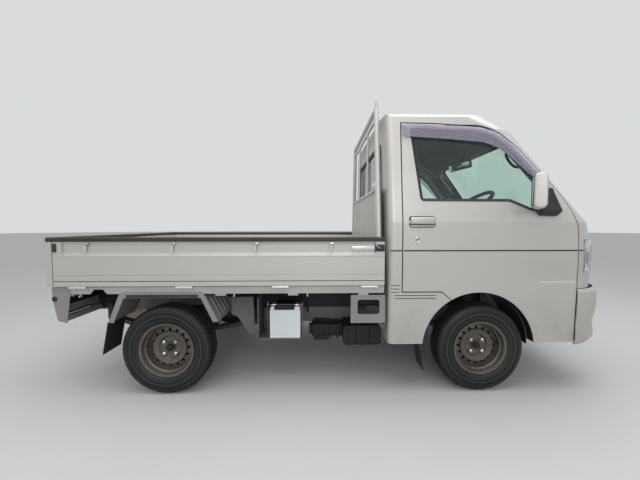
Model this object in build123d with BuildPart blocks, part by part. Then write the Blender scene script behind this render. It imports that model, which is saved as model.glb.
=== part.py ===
# Kei truck with a forward cab and a drop-side bed.
# Frame: +X forward, +Y left, +Z up, ground at Z = 0, X = 0 half way along the truck. Millimetres.
import math
import os

from build123d import *

os.makedirs("parts", exist_ok=True)

# Overall sizes
LENGTH = 3395.0
WIDTH = 1475.0
HEIGHT = 1815.0
WHEELBASE = 1900.0
FRONT_OVERHANG = 835.0
TRACK = 1290.0
HALF = WIDTH / 2
NOSE_X = LENGTH / 2
TAIL_X = -LENGTH / 2
FRONT_AXLE = NOSE_X - FRONT_OVERHANG
REAR_AXLE = FRONT_AXLE - WHEELBASE
SIDES = (-1, 1)

# Wheels
TYRE_RADIUS = 268.0
TYRE_WIDTH = 143.0
NUT_CIRCLE = 100.0
HOLE_CIRCLE = 224.0
HOLE_RADIUS = 9.0
HOLE_COUNT = 16
HUB_RADIUS = 27.0
WHEEL_Y = TRACK / 2
AXLE_Z = TYRE_RADIUS

# Steering
KINGPIN_FOOT_Y = WHEEL_Y - 45
KINGPIN_FOOT_Z = 160.0
STRUT_TOP_Y = 528.0
STRUT_TOP_Z = 586.0

# Gaps
SHUT_GAP = 7.0
GATE_GAP = 5.0
SKIN_GAP = 0.3

# Bed
BED_LENGTH = 1963.0
GATE_FOOT = 661.0
GATE_TOP = 948.0
GATE_THICK = 36.0
CAP_HEIGHT = 26.0
GATE_INSET = 2.0
HINGE_RADIUS = 6.0
FLOOR_TOP = 664.0
FLOOR_THICK = 24.0
SILL_FOOT = 614.0
SILL_TOP = 655.0
SILL_Y = HALF - 20
BED_FRONT = TAIL_X + BED_LENGTH
GATE_OUT = HALF - GATE_INSET
GATE_IN = HALF - GATE_THICK
GATE_HINGE_Y = HALF - HINGE_RADIUS
GATE_HINGE_Z = GATE_FOOT - HINGE_RADIUS - 1
GATE_REAR = TAIL_X + GATE_THICK + GATE_GAP
GATE_FRONT = BED_FRONT - 2
HINGE_XS = (-486, 126, 688, 1212)
HINGE_LENGTH = 97.0
HOOK_XS = (-432, 64, 544, 986)
BEARER_XS = (-560, -150, 330, 760, 1180)
BEARER_WIDTH = 60.0
BEARER_FOOT = 600.0

# Headboard and guard frame
POST_RADIUS = 17.0
POST_FOOT_Y = 676.0
POST_TOP_Y = 525.0
GUARD_BAR_Z = HEIGHT - 50
GUARD_RAIL_Z = 1245.0
PEG_LENGTH = 30.0
HEADBOARD_DEPTH = 12.0
HEADBOARD_SHEET = 2.0
HEADBOARD_RIBS = 14

# Ladder frame
RAIL_Y = 370.0
RAIL_WIDTH = 60.0
RAIL_HEIGHT = 108.0
RAIL_TOP = 449.0
RAIL_KICK = 96.0

# Cab
CAB_GAP = 25.0
CAB_REAR = BED_FRONT + CAB_GAP
DOOR_WALL = 55.0
REAR_WALL = 38.0
CAB_WALL_X = CAB_REAR + REAR_WALL
ROOF_WALL = 40.0
NOSE_WALL = 60.0
NOSE_SKIN = 18.0
ROOF_SEAM = 1643.0
COWL_Z = 1035.0
BODY_LINE_Z = 869.0
NOSE_EDGE = REAR_AXLE + 2465
NOSE_FOOT = 640.0
# height, set back of the front, half width, front corner radius
CAB_SECTIONS = (
    (306, 84, HALF - 10, 235),
    (640, 70, HALF - 2, 240),
    (869, 65, HALF, 245),
    (COWL_Z, 95, HALF - 4, 245),
    (1603, 553, HALF - 85, 215),
    (1850, 752, HALF - 120, 600),
)
REAR_CORNER = 32.0
ROOF_REAR_Z = 1730.0
ROOF_CROWN_Z = 1748.0
ROOF_EDGE_Z = 1697.0
ROOF_EDGE_Y = 641.0

# Front wheel arch
ARCH_X = FRONT_AXLE - 28
ARCH_Z = 280.0
ARCH_RADIUS = 338.0
HOUSE_OUT = 667.0
HOUSE_IN = 412.0

# Doors
DOOR_REAR = REAR_AXLE + 1410
DOOR_FRONT = REAR_AXLE + 2458
DOOR_FOOT = 625.0
DOOR_LOW = 311.0
DOOR_HINGE_X = DOOR_FRONT - 12
DOOR_HINGE_Y = HALF

# Bumper: height, set back, half width, corner radius
BUMPER_SECTIONS = (
    (292, 50, HALF - 14, 255),
    (325, 14, HALF - 5, 262),
    (366, 14, HALF - 5, 262),
    (409, 24, HALF - 8, 258),
    (483, 5, HALF - 2, 266),
    (545, 0, HALF, 268),
    (615, 4, HALF, 268),
    (636, 20, HALF - 5, 262),
)
BUMPER_WALL = 6.0

# Cabin floor: foot well, riser behind the feet and platform over the engine
FLOOR_PLATE = 14.0
FOOT_WELL_Z = 400.0
PLATFORM_Z = 800.0
RISER_X = REAR_AXLE + 2222
RISER_TOP_X = REAR_AXLE + 2150

# Seats
SEAT_Y = 345.0
SEAT_WIDTH = 470.0
SEAT_Z = PLATFORM_Z + FLOOR_PLATE
CUSHION_THICK = 120.0
SEAT_REAR = CAB_REAR + 140
SEAT_FRONT = REAR_AXLE + 2090

# Steering wheel
WHEEL_CENTRE = (REAR_AXLE + 1985, -SEAT_Y, 1150.0)
WHEEL_TILT = 55.0
WHEEL_RADIUS = 180.0
WHEEL_GRIP = 13.0

DASH_HALF = 640.0

# Under the bed
FLOOR_RIBS = 11
HOOK_PIN_XS = (-485, 412, 846)
TAIL_HINGE_YS = (-470, 0, 470)
VERTICAL_Y = 210.0
FENDER_IN = 470.0
FENDER_OUT = SILL_Y - 0.5
CROSS_MEMBERS = ((-570, 530), (200, 530), (900, RAIL_TOP - 4), (2560, 380))
NOSE_RAIL_TOP = 392.0
NOSE_RAIL_HEIGHT = 70.0
ENGINE_FOOT = 250.0
SPRING_Y = 462.0
RIM_POINTS = (
    (0, 12), (27, 12), (30, 2), (64, 2), (72, 12), (100, 19), (108, 10), (131, 5), (134, 14),
    (135, 30), (143, 38), (147, 52), (150, 60), (158, 62), (165, 62), (165, 58), (157, 57),
    (152, 50), (150, 40), (141, 32), (140, -14), (150, -22), (152, -50), (157, -57), (165, -58),
    (165, -62), (158, -62), (150, -60), (147, -52), (144, -24), (136, -16), (135, -4), (131, -1),
    (108, 4), (100, 13), (72, 6), (64, -3), (0, -3))

# Grille slots in the nose and air intake in the bumper
GRILLE_SLOTS = 3
GRILLE_Z = 778.0
GRILLE_PITCH = 24.0
GRILLE_SLOT = 12.0
GRILLE_HALF = 300.0
INTAKE_HALF = 420.0
INTAKE_Z = 425.0
INTAKE_HEIGHT = 70.0
INTAKE_BARS = 12

# Mirrors
MIRROR_X = REAR_AXLE + 2125
MIRROR_Y = HALF + 112
MIRROR_Z = 1202.0
MIRROR_DEPTH = 62.0
MIRROR_WIDTH = 140.0
MIRROR_TURN = 32.0
MIRROR_HEIGHT = 190.0
MIRROR_BASE_Y = HALF - 20

# Glass
GLASS_DEPTH = 5.0
ROOF_EDGE_RADIUS = 45.0
LINE_DEPTH = 3.0
LOUVRES = ((REAR_AXLE + 1392, 661), (REAR_AXLE + 1392, 640), (REAR_AXLE + 1392, 620), (REAR_AXLE + 1614, 601),
           (REAR_AXLE + 1614, 583))
LOUVRE_DEPTH = 6.0
LOUVRE_HALF = 2.5
CREASE_DEPTH = 7.0
DOOR_TOP_REAR = 1636.0
GLASS_THICK = 5.0


def side_slab(points, y0, y1, mode=Mode.ADD):
    """Prism of an outline in X and Z, from y0 to y1."""
    with BuildSketch(Plane.XZ.offset(-y1)) as outline:
        with BuildLine():
            Polyline(*points, close=True)
        make_face()
    extrude(to_extrude=outline.sketch, amount=y1 - y0, mode=mode)


def face_slab(points, x0, x1, mode=Mode.ADD):
    """Prism of an outline in Y and Z, from x0 to x1."""
    with BuildSketch(Plane.YZ.offset(x0)) as outline:
        with BuildLine():
            Polyline(*points, close=True)
        make_face()
    extrude(to_extrude=outline.sketch, amount=x1 - x0, mode=mode)


def plan_slab(points, z0, z1, mode=Mode.ADD):
    """Prism of an outline in X and Y, from z0 to z1."""
    with BuildSketch(Plane.XY.offset(z0)) as outline:
        with BuildLine():
            Polyline(*points, close=True)
        make_face()
    extrude(to_extrude=outline.sketch, amount=z1 - z0, mode=mode)


def block(x0, x1, y0, y1, z0, z1, mode=Mode.ADD):
    """Box between two corners."""
    with Locations(((x0 + x1) / 2, (y0 + y1) / 2, (z0 + z1) / 2)):
        Box(abs(x1 - x0), abs(y1 - y0), abs(z1 - z0), mode=mode)


def rod(start, end, radius, mode=Mode.ADD):
    """Round bar between two points."""
    run = Vector(*end) - Vector(*start)
    with BuildSketch(Plane(origin=start, z_dir=run)) as disc:
        Circle(radius)
    extrude(to_extrude=disc.sketch, amount=run.length, mode=mode)


def save(piece, label):
    piece.label = label
    export_step(piece, f"parts/{label}.step")


def mirrored(piece):
    return mirror(piece, about=Plane.XZ, mode=Mode.PRIVATE)


def rounded_plan(height, rear, front, half, front_radius, rear_radius):
    """Plan outline of the cab: large front corners, small rear corners."""
    with BuildSketch(Plane.XY.offset(height)) as plan:
        with BuildLine():
            Line((rear + rear_radius, -half), (front - front_radius, -half))
            RadiusArc((front - front_radius, -half), (front, -half + front_radius), -front_radius)
            Line((front, -half + front_radius), (front, half - front_radius))
            RadiusArc((front, half - front_radius), (front - front_radius, half), -front_radius)
            Line((front - front_radius, half), (rear + rear_radius, half))
            RadiusArc((rear + rear_radius, half), (rear, half - rear_radius), -rear_radius)
            Line((rear, half - rear_radius), (rear, -half + rear_radius))
            RadiusArc((rear, -half + rear_radius), (rear + rear_radius, -half), -rear_radius)
        make_face()
    return plan.sketch


def cab_form(side, roof, rear, front):
    """Outer form of the cab, set in by the walls given."""
    plans = []
    for height, back, half, corner in CAB_SECTIONS:
        plans.append(rounded_plan(height, CAB_REAR + rear, NOSE_X - back - front,
                                  half - side, corner - side, max(REAR_CORNER - side, 4)))
    slope = (CAB_SECTIONS[4][1] - CAB_SECTIONS[3][1]) / (CAB_SECTIONS[4][0] - CAB_SECTIONS[3][0])
    lean = (CAB_SECTIONS[3][2] - CAB_SECTIONS[4][2]) / (CAB_SECTIONS[4][0] - CAB_SECTIONS[3][0])
    header_x = NOSE_X - CAB_SECTIONS[4][1] - front
    roof_front = ROOF_EDGE_Z + 25 - roof
    tip = header_x - (roof_front - CAB_SECTIONS[4][0]) * slope + 2
    with BuildPart() as form:
        loft(plans, ruled=True)
        with BuildSketch(Plane.XZ.offset(-HALF)) as profile:
            with BuildLine():
                FilletPolyline(
                    (tip + (roof_front - 200) * slope, 200), (tip, roof_front),
                    (FRONT_AXLE - 330, ROOF_CROWN_Z - roof), (CAB_REAR, ROOF_REAR_Z - roof),
                    radius=(300 - roof, 900))
                Line((CAB_REAR, ROOF_REAR_Z - roof), (CAB_REAR, 200))
                Line((CAB_REAR, 200), (tip + (roof_front - 200) * slope, 200))
            make_face()
        extrude(to_extrude=profile.sketch, amount=2 * HALF, mode=Mode.INTERSECT)
        edge_y = ROOF_EDGE_Y - side
        edge_z = ROOF_EDGE_Z - roof
        foot_y = edge_y + (ROOF_EDGE_Z - COWL_Z) * lean + 2
        with BuildSketch(Plane.YZ.offset(CAB_REAR)) as crown:
            with BuildLine():
                ThreePointArc((edge_y, edge_z), (0, ROOF_CROWN_Z + 2 - roof), (-edge_y, edge_z))
                Polyline((-edge_y, edge_z), (-foot_y, COWL_Z), (-foot_y, 200), (foot_y, 200),
                         (foot_y, COWL_Z), (edge_y, edge_z))
            make_face()
            fillet(crown.vertices().sort_by(Axis.Y)[-2:], radius=ROOF_EDGE_RADIUS - side / 2)
        extrude(to_extrude=crown.sketch, amount=NOSE_X - CAB_REAR, mode=Mode.INTERSECT)
    return form.part


# Cab forms shared by the panels
outer_form = cab_form(0, 0, 0, 0)
inner_form = cab_form(DOOR_WALL, ROOF_WALL, REAR_WALL, NOSE_WALL)
skin_form = cab_form(NOSE_SKIN, NOSE_SKIN, 0, NOSE_SKIN)
backing_form = cab_form(NOSE_SKIN + SKIN_GAP, NOSE_SKIN, 0, NOSE_SKIN + SKIN_GAP)
glass_out = cab_form(GLASS_DEPTH, GLASS_DEPTH, GLASS_DEPTH, GLASS_DEPTH)
glass_in = cab_form(GLASS_DEPTH + GLASS_THICK, GLASS_DEPTH + GLASS_THICK,
                    GLASS_DEPTH + GLASS_THICK, GLASS_DEPTH + GLASS_THICK)


def door_outline(grow):
    """Door outline in X and Z, with its wheel arch; grow widens it by a gap."""
    arch = ARCH_RADIUS - grow
    rear_arch_z = 573.0 - grow
    rear_arch_x = ARCH_X - math.sqrt(arch ** 2 - (rear_arch_z - ARCH_Z) ** 2)
    low = DOOR_LOW - grow
    front_arch_x = ARCH_X + math.sqrt(arch ** 2 - (low - ARCH_Z) ** 2)
    rear = DOOR_REAR - 60
    front = DOOR_FRONT + grow
    with BuildSketch(Plane.XZ.offset(-HALF - 200)) as outline:
        with BuildLine():
            Polyline((rear_arch_x, rear_arch_z), (REAR_AXLE + 1643, DOOR_FOOT - grow),
                     (rear, DOOR_FOOT - grow), (rear, DOOR_TOP_REAR + grow),
                     (REAR_AXLE + 1620, DOOR_TOP_REAR - 5 + grow),
                     (REAR_AXLE + 1890, DOOR_TOP_REAR - 22 + grow),
                     (REAR_AXLE + 2012 + grow * 0.5, DOOR_TOP_REAR - 62 + grow),
                     (REAR_AXLE + 2124 + grow * 0.7, 1489 + grow * 0.7),
                     (REAR_AXLE + 2385 + grow * 0.8, 1200 + grow * 0.6),
                     (REAR_AXLE + 2432 + grow, 1100 + grow * 0.3),
                     (front, 1000), (front, low + 6), (front - 8, low), (front_arch_x, low))
            ThreePointArc((front_arch_x, low), (ARCH_X, ARCH_Z + arch), (rear_arch_x, rear_arch_z))
        make_face()
    with BuildPart() as prism:
        extrude(to_extrude=outline.sketch, amount=HALF - 100)
        with BuildSketch(Plane.XY.offset(200)) as sweep_round:
            with Locations((DOOR_HINGE_X, DOOR_HINGE_Y)):
                Circle(DOOR_HINGE_X - DOOR_REAR + grow)
        extrude(to_extrude=sweep_round.sketch, amount=1600, mode=Mode.INTERSECT)
    return prism.part


door_prism = door_outline(0)
door_hole = door_outline(SHUT_GAP)

SIDE_WINDOW = (
    (REAR_AXLE + 1521, 1165), (REAR_AXLE + 2050, 1163), (REAR_AXLE + 2170, 1112),
    (REAR_AXLE + 2345, 1100), (REAR_AXLE + 2290, 1212), (REAR_AXLE + 2078, 1468),
    (REAR_AXLE + 1962, 1560), (REAR_AXLE + 1850, 1590), (REAR_AXLE + 1468, 1602))
WINDSCREEN = ((-610, 1062), (610, 1062), (540, 1585), (-540, 1585))
REAR_WINDOW = ((-520, 1195), (520, 1195), (475, 1560), (-475, 1560))


def window_cut(points, side):
    """Prism that cuts a door window on one side of the cab."""
    with BuildSketch(Plane.XZ) as outline:
        with BuildLine():
            Polyline(*points, close=True)
        make_face()
        fillet(outline.vertices(), radius=22)
    with BuildPart() as prism:
        extrude(to_extrude=outline.sketch, amount=HALF + 50)
    return prism.part if side < 0 else mirrored(prism.part)


def screen_cut(points, x0, x1):
    """Prism that cuts the windscreen or the rear window."""
    with BuildSketch(Plane.YZ.offset(x0)) as outline:
        with BuildLine():
            Polyline(*points, close=True)
        make_face()
        fillet(outline.vertices(), radius=60)
    with BuildPart() as prism:
        extrude(to_extrude=outline.sketch, amount=x1 - x0)
    return prism.part


windscreen_cut = screen_cut(WINDSCREEN, FRONT_AXLE, NOSE_X)
rear_window_cut = screen_cut(REAR_WINDOW, CAB_REAR - 10, CAB_REAR + 60)

# Groove pressed along the body line
with BuildPart() as line_groove:
    block(CAB_REAR + 5, NOSE_X, -HALF - 5, HALF + 5, BODY_LINE_Z - 6, BODY_LINE_Z + 3)
    add(cab_form(LINE_DEPTH, LINE_DEPTH, 0, LINE_DEPTH), mode=Mode.SUBTRACT)

# Louvre lines pressed low behind and below each door: front end, height
with BuildPart() as louvres:
    for front, height in LOUVRES:
        for side in SIDES:
            y0, y1 = sorted((side * (HALF - LOUVRE_DEPTH), side * (HALF + 5)))
            block(CAB_REAR + 10, front, y0, y1, height - LOUVRE_HALF, height + LOUVRE_HALF)

# Shallow recess of each door and nose corner below the body line, with a sloping rear end
with BuildPart() as crease:
    for side in SIDES:
        with BuildSketch(Plane.YZ.offset(REAR_AXLE + 2010)) as wedge:
            with BuildLine():
                Polyline((side * (HALF + 2), BODY_LINE_Z - 7), (side * (HALF - CREASE_DEPTH), 684),
                         (side * (HALF + 2), 666), close=True)
            make_face()
        extrude(to_extrude=wedge.sketch, amount=550)
    side_slab(((REAR_AXLE + 2012, 865), (REAR_AXLE + 2560, 865), (REAR_AXLE + 2560, 655),
               (REAR_AXLE + 2256, 655)), -HALF - 10, HALF + 10, mode=Mode.INTERSECT)

LAMP_REAR = REAR_AXLE + 2506
LAMP_OUTLINE = ((HALF + 20, 935), (430, 905), (405, 885), (415, 765), (440, 742), (HALF + 20, 736))
LAMP_LENS = ((HALF + 20, 932.5), (432, 902), (408, 883), (418, 767), (441, 744.5), (HALF + 20, 738.5))

# Cab shell: rear wall, pillars, cowl, floor and wheel houses
FLOOR_LINE = (
    (CAB_WALL_X, PLATFORM_Z), (RISER_TOP_X, PLATFORM_Z), (RISER_X, FOOT_WELL_Z),
    (NOSE_X - 150, FOOT_WELL_Z), (NOSE_X - 150, FOOT_WELL_Z + FLOOR_PLATE),
    (RISER_X + 12, FOOT_WELL_Z + FLOOR_PLATE), (RISER_TOP_X + 10, PLATFORM_Z + FLOOR_PLATE),
    (CAB_WALL_X, PLATFORM_Z + FLOOR_PLATE))
HOUSE_WALL = 6.0
OPEN_HALF = 620.0
STRIKER_Z = 985.0

with BuildPart() as front_skin:
    add(outer_form)
    add(backing_form, mode=Mode.SUBTRACT)
    block(NOSE_EDGE, NOSE_X, -HALF - 5, HALF + 5, 200, COWL_Z + 8, mode=Mode.INTERSECT)

with BuildPart() as cab_floor:
    side_slab(FLOOR_LINE, -HALF, HALF)
    add(inner_form, mode=Mode.INTERSECT)
    for side in SIDES:
        y0, y1 = sorted((side * HOUSE_OUT, side * HALF))
        block(CAB_WALL_X, DOOR_FRONT + SHUT_GAP + 2, y0, y1, 300, 900, mode=Mode.SUBTRACT)
    for side in SIDES:
        y0, y1 = sorted((side * HOUSE_IN, side * HOUSE_OUT))
        with BuildSketch(Plane.XZ.offset(-y1)) as house:
            with Locations((ARCH_X, ARCH_Z)):
                Circle(ARCH_RADIUS + HOUSE_WALL)
            with Locations((ARCH_X, ARCH_Z - 500)):
                Rectangle(1000, 1000, mode=Mode.SUBTRACT)
        extrude(to_extrude=house.sketch, amount=y1 - y0)
    for side in SIDES:
        y0, y1 = sorted((side * HOUSE_IN, side * (HOUSE_IN + HOUSE_WALL)))
        side_slab(((ARCH_X - 320, 480), (ARCH_X - 320, PLATFORM_Z + 5), (RISER_TOP_X, PLATFORM_Z + 5),
                   (RISER_X + 5, FOOT_WELL_Z + 5)), y0, y1)
    for side in SIDES:
        y0, y1 = sorted((side * HOUSE_IN, side * (HALF + 10)))
        with BuildSketch(Plane.XZ.offset(-y1)) as arch:
            with Locations((ARCH_X, ARCH_Z)):
                Circle(ARCH_RADIUS)
        extrude(to_extrude=arch.sketch, amount=y1 - y0, mode=Mode.SUBTRACT)
save(cab_floor.part, "cab_floor")

with BuildPart() as cab_shell:
    add(outer_form)
    add(inner_form, mode=Mode.SUBTRACT)
    block(CAB_REAR - 10, NOSE_X, -HALF - 5, HALF + 5, ROOF_SEAM, HEIGHT, mode=Mode.SUBTRACT)
    add(door_hole, mode=Mode.SUBTRACT)
    add(mirrored(door_hole), mode=Mode.SUBTRACT)
    add(front_skin.part, mode=Mode.SUBTRACT)
    add(windscreen_cut, mode=Mode.SUBTRACT)
    for side in SIDES:
        face_slab([(side * y, z) for y, z in LAMP_OUTLINE], LAMP_REAR, NOSE_X,
                  mode=Mode.SUBTRACT)
    for side in SIDES:
        y0, y1 = sorted((side * HOUSE_IN, side * (HALF + 10)))
        with BuildSketch(Plane.XZ.offset(-y1)) as arch:
            with Locations((ARCH_X, ARCH_Z)):
                Circle(ARCH_RADIUS)
        extrude(to_extrude=arch.sketch, amount=y1 - y0, mode=Mode.SUBTRACT)
    add([line_groove.part, louvres.part], mode=Mode.SUBTRACT)
    with BuildSketch(Plane.XY.offset(STRIKER_Z)) as strikers:
        for side in SIDES:
            with Locations((DOOR_REAR - SHUT_GAP, side * (HALF - 36))):
                Rectangle(16, 14)
            with Locations((DOOR_HINGE_X, side * DOOR_HINGE_Y)):
                Circle(DOOR_HINGE_X - DOOR_REAR + SKIN_GAP, mode=Mode.SUBTRACT)
    extrude(to_extrude=strikers.sketch, amount=50)
    block(CAB_REAR - 10, CAB_WALL_X, -HALF - 5, HALF + 5, 280, HEIGHT, mode=Mode.SUBTRACT)
    block(NOSE_X - 200, NOSE_X, -OPEN_HALF, OPEN_HALF, 280, FOOT_WELL_Z, mode=Mode.SUBTRACT)
save(cab_shell.part, "cab_shell")

# Back panel of the cab
with BuildPart() as cab_back:
    add(outer_form)
    block(CAB_REAR - 10, CAB_WALL_X, -HALF - 5, HALF + 5, 280, ROOF_SEAM, mode=Mode.INTERSECT)
    add(rear_window_cut, mode=Mode.SUBTRACT)
    add([line_groove.part, louvres.part], mode=Mode.SUBTRACT)
    block(CAB_REAR - 5, CAB_WALL_X + 5, -OPEN_HALF, OPEN_HALF, 280, PLATFORM_Z - 30,
          mode=Mode.SUBTRACT)
save(cab_back.part, "cab_back")

# Roof panel
with BuildPart() as cab_roof:
    add(outer_form)
    add(inner_form, mode=Mode.SUBTRACT)
    block(CAB_REAR - 10, NOSE_X, -HALF, HALF, ROOF_SEAM, HEIGHT, mode=Mode.INTERSECT)
save(cab_roof.part, "cab_roof")

# Nose panel with its grille slots
with BuildPart() as nose_panel:
    add(outer_form)
    add(skin_form, mode=Mode.SUBTRACT)
    block(NOSE_EDGE, NOSE_X, -HALF - 5, HALF + 5, NOSE_FOOT, COWL_Z + 8, mode=Mode.INTERSECT)
    for side in SIDES:
        face_slab([(side * y, z) for y, z in LAMP_OUTLINE], LAMP_REAR, NOSE_X,
                  mode=Mode.SUBTRACT)
    for slot in range(GRILLE_SLOTS):
        slot_z = GRILLE_Z + slot * GRILLE_PITCH
        block(NOSE_X - 120, NOSE_X, -GRILLE_HALF, GRILLE_HALF, slot_z, slot_z + GRILLE_SLOT,
              mode=Mode.SUBTRACT)
    add([line_groove.part, crease.part], mode=Mode.SUBTRACT)
save(nose_panel.part, "nose_panel")

# Glass
with BuildPart() as glass_skin:
    add(glass_out)
    add(glass_in, mode=Mode.SUBTRACT)


def pane(cut):
    """Sheet of glass that fills a window."""
    with BuildPart() as sheet:
        add(glass_skin.part)
        add(cut, mode=Mode.INTERSECT)
    return sheet.part


windscreen = pane(windscreen_cut)
save(windscreen, "windscreen")
rear_window = pane(rear_window_cut)
save(rear_window, "rear_window")

# Doors with their glass
for side, name in ((-1, "right"), (1, "left")):
    with BuildPart() as door:
        add(outer_form)
        add(inner_form, mode=Mode.SUBTRACT)
        add(door_prism if side > 0 else mirrored(door_prism), mode=Mode.INTERSECT)
        add(window_cut(SIDE_WINDOW, side), mode=Mode.SUBTRACT)
        add([line_groove.part, crease.part], mode=Mode.SUBTRACT)
    save(door.part, f"door_{name}")
    save(pane(window_cut(SIDE_WINDOW, side)), f"door_glass_{name}")

# Mirrors
mirror_clear = cab_form(-SKIN_GAP, 0, 0, -SKIN_GAP)
for side, name in ((-1, "right"), (1, "left")):
    with BuildPart() as mirror_head:
        with BuildSketch(Plane.XZ.offset(-side * MIRROR_Y - MIRROR_WIDTH / 2)) as face:
            with Locations((MIRROR_X, MIRROR_Z)):
                RectangleRounded(MIRROR_DEPTH, MIRROR_HEIGHT, MIRROR_DEPTH * 0.45)
        extrude(to_extrude=face.sketch, amount=MIRROR_WIDTH)
        fillet(mirror_head.edges().filter_by(GeomType.CIRCLE), radius=10)
    head_axis = Axis((MIRROR_X, side * MIRROR_Y, MIRROR_Z), (0, 0, 1))
    with BuildPart() as mirror_shell:
        add(mirror_head.part.rotate(head_axis, side * MIRROR_TURN))
        rod((MIRROR_X + 10, side * (MIRROR_Y - 20), MIRROR_Z - MIRROR_HEIGHT / 2 + 18),
            (MIRROR_X + 150, side * (MIRROR_BASE_Y - 10), MIRROR_Z - MIRROR_HEIGHT / 2 + 2), 9)
        y0, y1 = sorted((side * (HALF - 60), side * (HALF + 6)))
        side_slab([(REAR_AXLE + x, z) for x, z in
                   ((2186, 1118), (2217, 1076), (2316, 1073), (2348, 1102), (2282, 1236), (2264, 1234))],
                  y0, y1)
        add(mirror_clear, mode=Mode.SUBTRACT)
    save(mirror_shell.part, f"mirror_{name}")

# Front bumper
def bumper_form(wall):
    plans = []
    for height, back, half, corner in BUMPER_SECTIONS:
        plans.append(rounded_plan(height, NOSE_EDGE - 150, NOSE_X - back - wall, half - wall,
                                  corner - wall, 10))
    with BuildPart() as form:
        loft(plans, ruled=True)
        block(NOSE_EDGE, NOSE_X, -HALF, HALF, 200, 700, mode=Mode.INTERSECT)
    return form.part


with BuildPart() as front_bumper:
    add(bumper_form(0))
    add(bumper_form(BUMPER_WALL), mode=Mode.SUBTRACT)
    block(NOSE_X - 60, NOSE_X, -INTAKE_HALF, INTAKE_HALF, INTAKE_Z, INTAKE_Z + INTAKE_HEIGHT,
          mode=Mode.SUBTRACT)
    for bar in range(INTAKE_BARS):
        bar_y = -INTAKE_HALF + (bar + 0.5) * 2 * INTAKE_HALF / INTAKE_BARS
        block(NOSE_X - 22, NOSE_X - 8, bar_y - 4, bar_y + 4, INTAKE_Z - 4,
              INTAKE_Z + INTAKE_HEIGHT + 4)
    for side in SIDES:
        block(NOSE_X - 72, NOSE_X - 8, side * RAIL_Y - 30, side * RAIL_Y + 30,
              NOSE_RAIL_TOP - NOSE_RAIL_HEIGHT, NOSE_RAIL_TOP)
save(front_bumper.part, "front_bumper")

# Headlamps
lamp_out = cab_form(-2, -2, 0, -2)
lamp_in = cab_form(46, 40, 0, 46)
with BuildPart() as headlamps:
    for side in SIDES:
        face_slab([(side * y, z) for y, z in LAMP_LENS], LAMP_REAR + SKIN_GAP, NOSE_X)
    add(lamp_out, mode=Mode.INTERSECT)
    add(lamp_in, mode=Mode.SUBTRACT)
save(headlamps.part, "headlamps")

# Dashboard with the steering column
column_run = Vector(math.cos(math.radians(WHEEL_TILT)), 0, -math.sin(math.radians(WHEEL_TILT)))
column_top = Vector(*WHEEL_CENTRE) + column_run * 36.3
column_foot = Vector(*WHEEL_CENTRE) + column_run * 920
with BuildPart() as dashboard:
    side_slab(((NOSE_X - 420, 880), (NOSE_X - 430, 1010), (NOSE_X - 400, 1050),
               (NOSE_X - 230, 1052), (NOSE_X - 190, 1000), (NOSE_X - 190, 850),
               (NOSE_X - 330, 820)), -DASH_HALF, DASH_HALF)
    add(cab_form(DOOR_WALL + 4, ROOF_WALL, REAR_WALL, NOSE_WALL + 4), mode=Mode.INTERSECT)
    side_slab(((WHEEL_CENTRE[0] + 95, 1010), (WHEEL_CENTRE[0] + 150, 1075), (NOSE_X - 395, 1030),
               (NOSE_X - 395, 900), (WHEEL_CENTRE[0] + 215, 850)), -SEAT_Y - 45, -SEAT_Y + 45)
    rod(column_top, column_foot, 24)
    block(column_foot.X - 100, column_foot.X + 100, -SEAT_Y - 50, -SEAT_Y + 50, 300,
          FOOT_WELL_Z + FLOOR_PLATE, mode=Mode.SUBTRACT)
save(dashboard.part, "dashboard")

# Steering wheel
wheel_plane = Plane(origin=WHEEL_CENTRE, z_dir=-column_run, x_dir=(0, 1, 0))
with BuildPart() as steering_wheel:
    with BuildSketch(Plane(origin=WHEEL_CENTRE, x_dir=(0, 1, 0), z_dir=Vector(0, 1, 0).cross(column_run))) as grip:
        with Locations((WHEEL_RADIUS, 0)):
            Circle(WHEEL_GRIP)
    revolve(grip.sketch, axis=Axis(WHEEL_CENTRE, column_run))
    with BuildSketch(wheel_plane.offset(-36)) as hub:
        Circle(42)
    extrude(to_extrude=hub.sketch, amount=40, taper=12)
    for angle in (0, 90, 180):
        with BuildSketch(wheel_plane.offset(-10)) as spoke:
            with Locations((WHEEL_RADIUS / 2 * math.cos(math.radians(angle)),
                            WHEEL_RADIUS / 2 * math.sin(math.radians(angle)))):
                Rectangle(WHEEL_RADIUS, 26, rotation=angle)
        extrude(to_extrude=spoke.sketch, amount=10)
save(steering_wheel.part, "steering_wheel")

# Seats
for side, name in ((-1, "right"), (1, "left")):
    with BuildPart() as seat:
        y0, y1 = sorted((side * SEAT_Y - SEAT_WIDTH / 2, side * SEAT_Y + SEAT_WIDTH / 2))
        side_slab(((SEAT_REAR + 40, SEAT_Z), (SEAT_FRONT - 20, SEAT_Z),
                   (SEAT_FRONT, SEAT_Z + 40), (SEAT_FRONT - 10, SEAT_Z + CUSHION_THICK),
                   (SEAT_REAR + 90, SEAT_Z + CUSHION_THICK - 25),
                   (SEAT_REAR + 0, SEAT_Z + 600), (SEAT_REAR - 90, SEAT_Z + 600),
                   (SEAT_REAR - 30, SEAT_Z + 60)), y0, y1)
        side_slab(((SEAT_REAR - 10, SEAT_Z + 590), (SEAT_REAR - 22, SEAT_Z + 760),
                   (SEAT_REAR - 92, SEAT_Z + 760), (SEAT_REAR - 86, SEAT_Z + 590)),
                  side * SEAT_Y - 120, side * SEAT_Y + 120)
    save(seat.part, f"seat_{name}")

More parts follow.
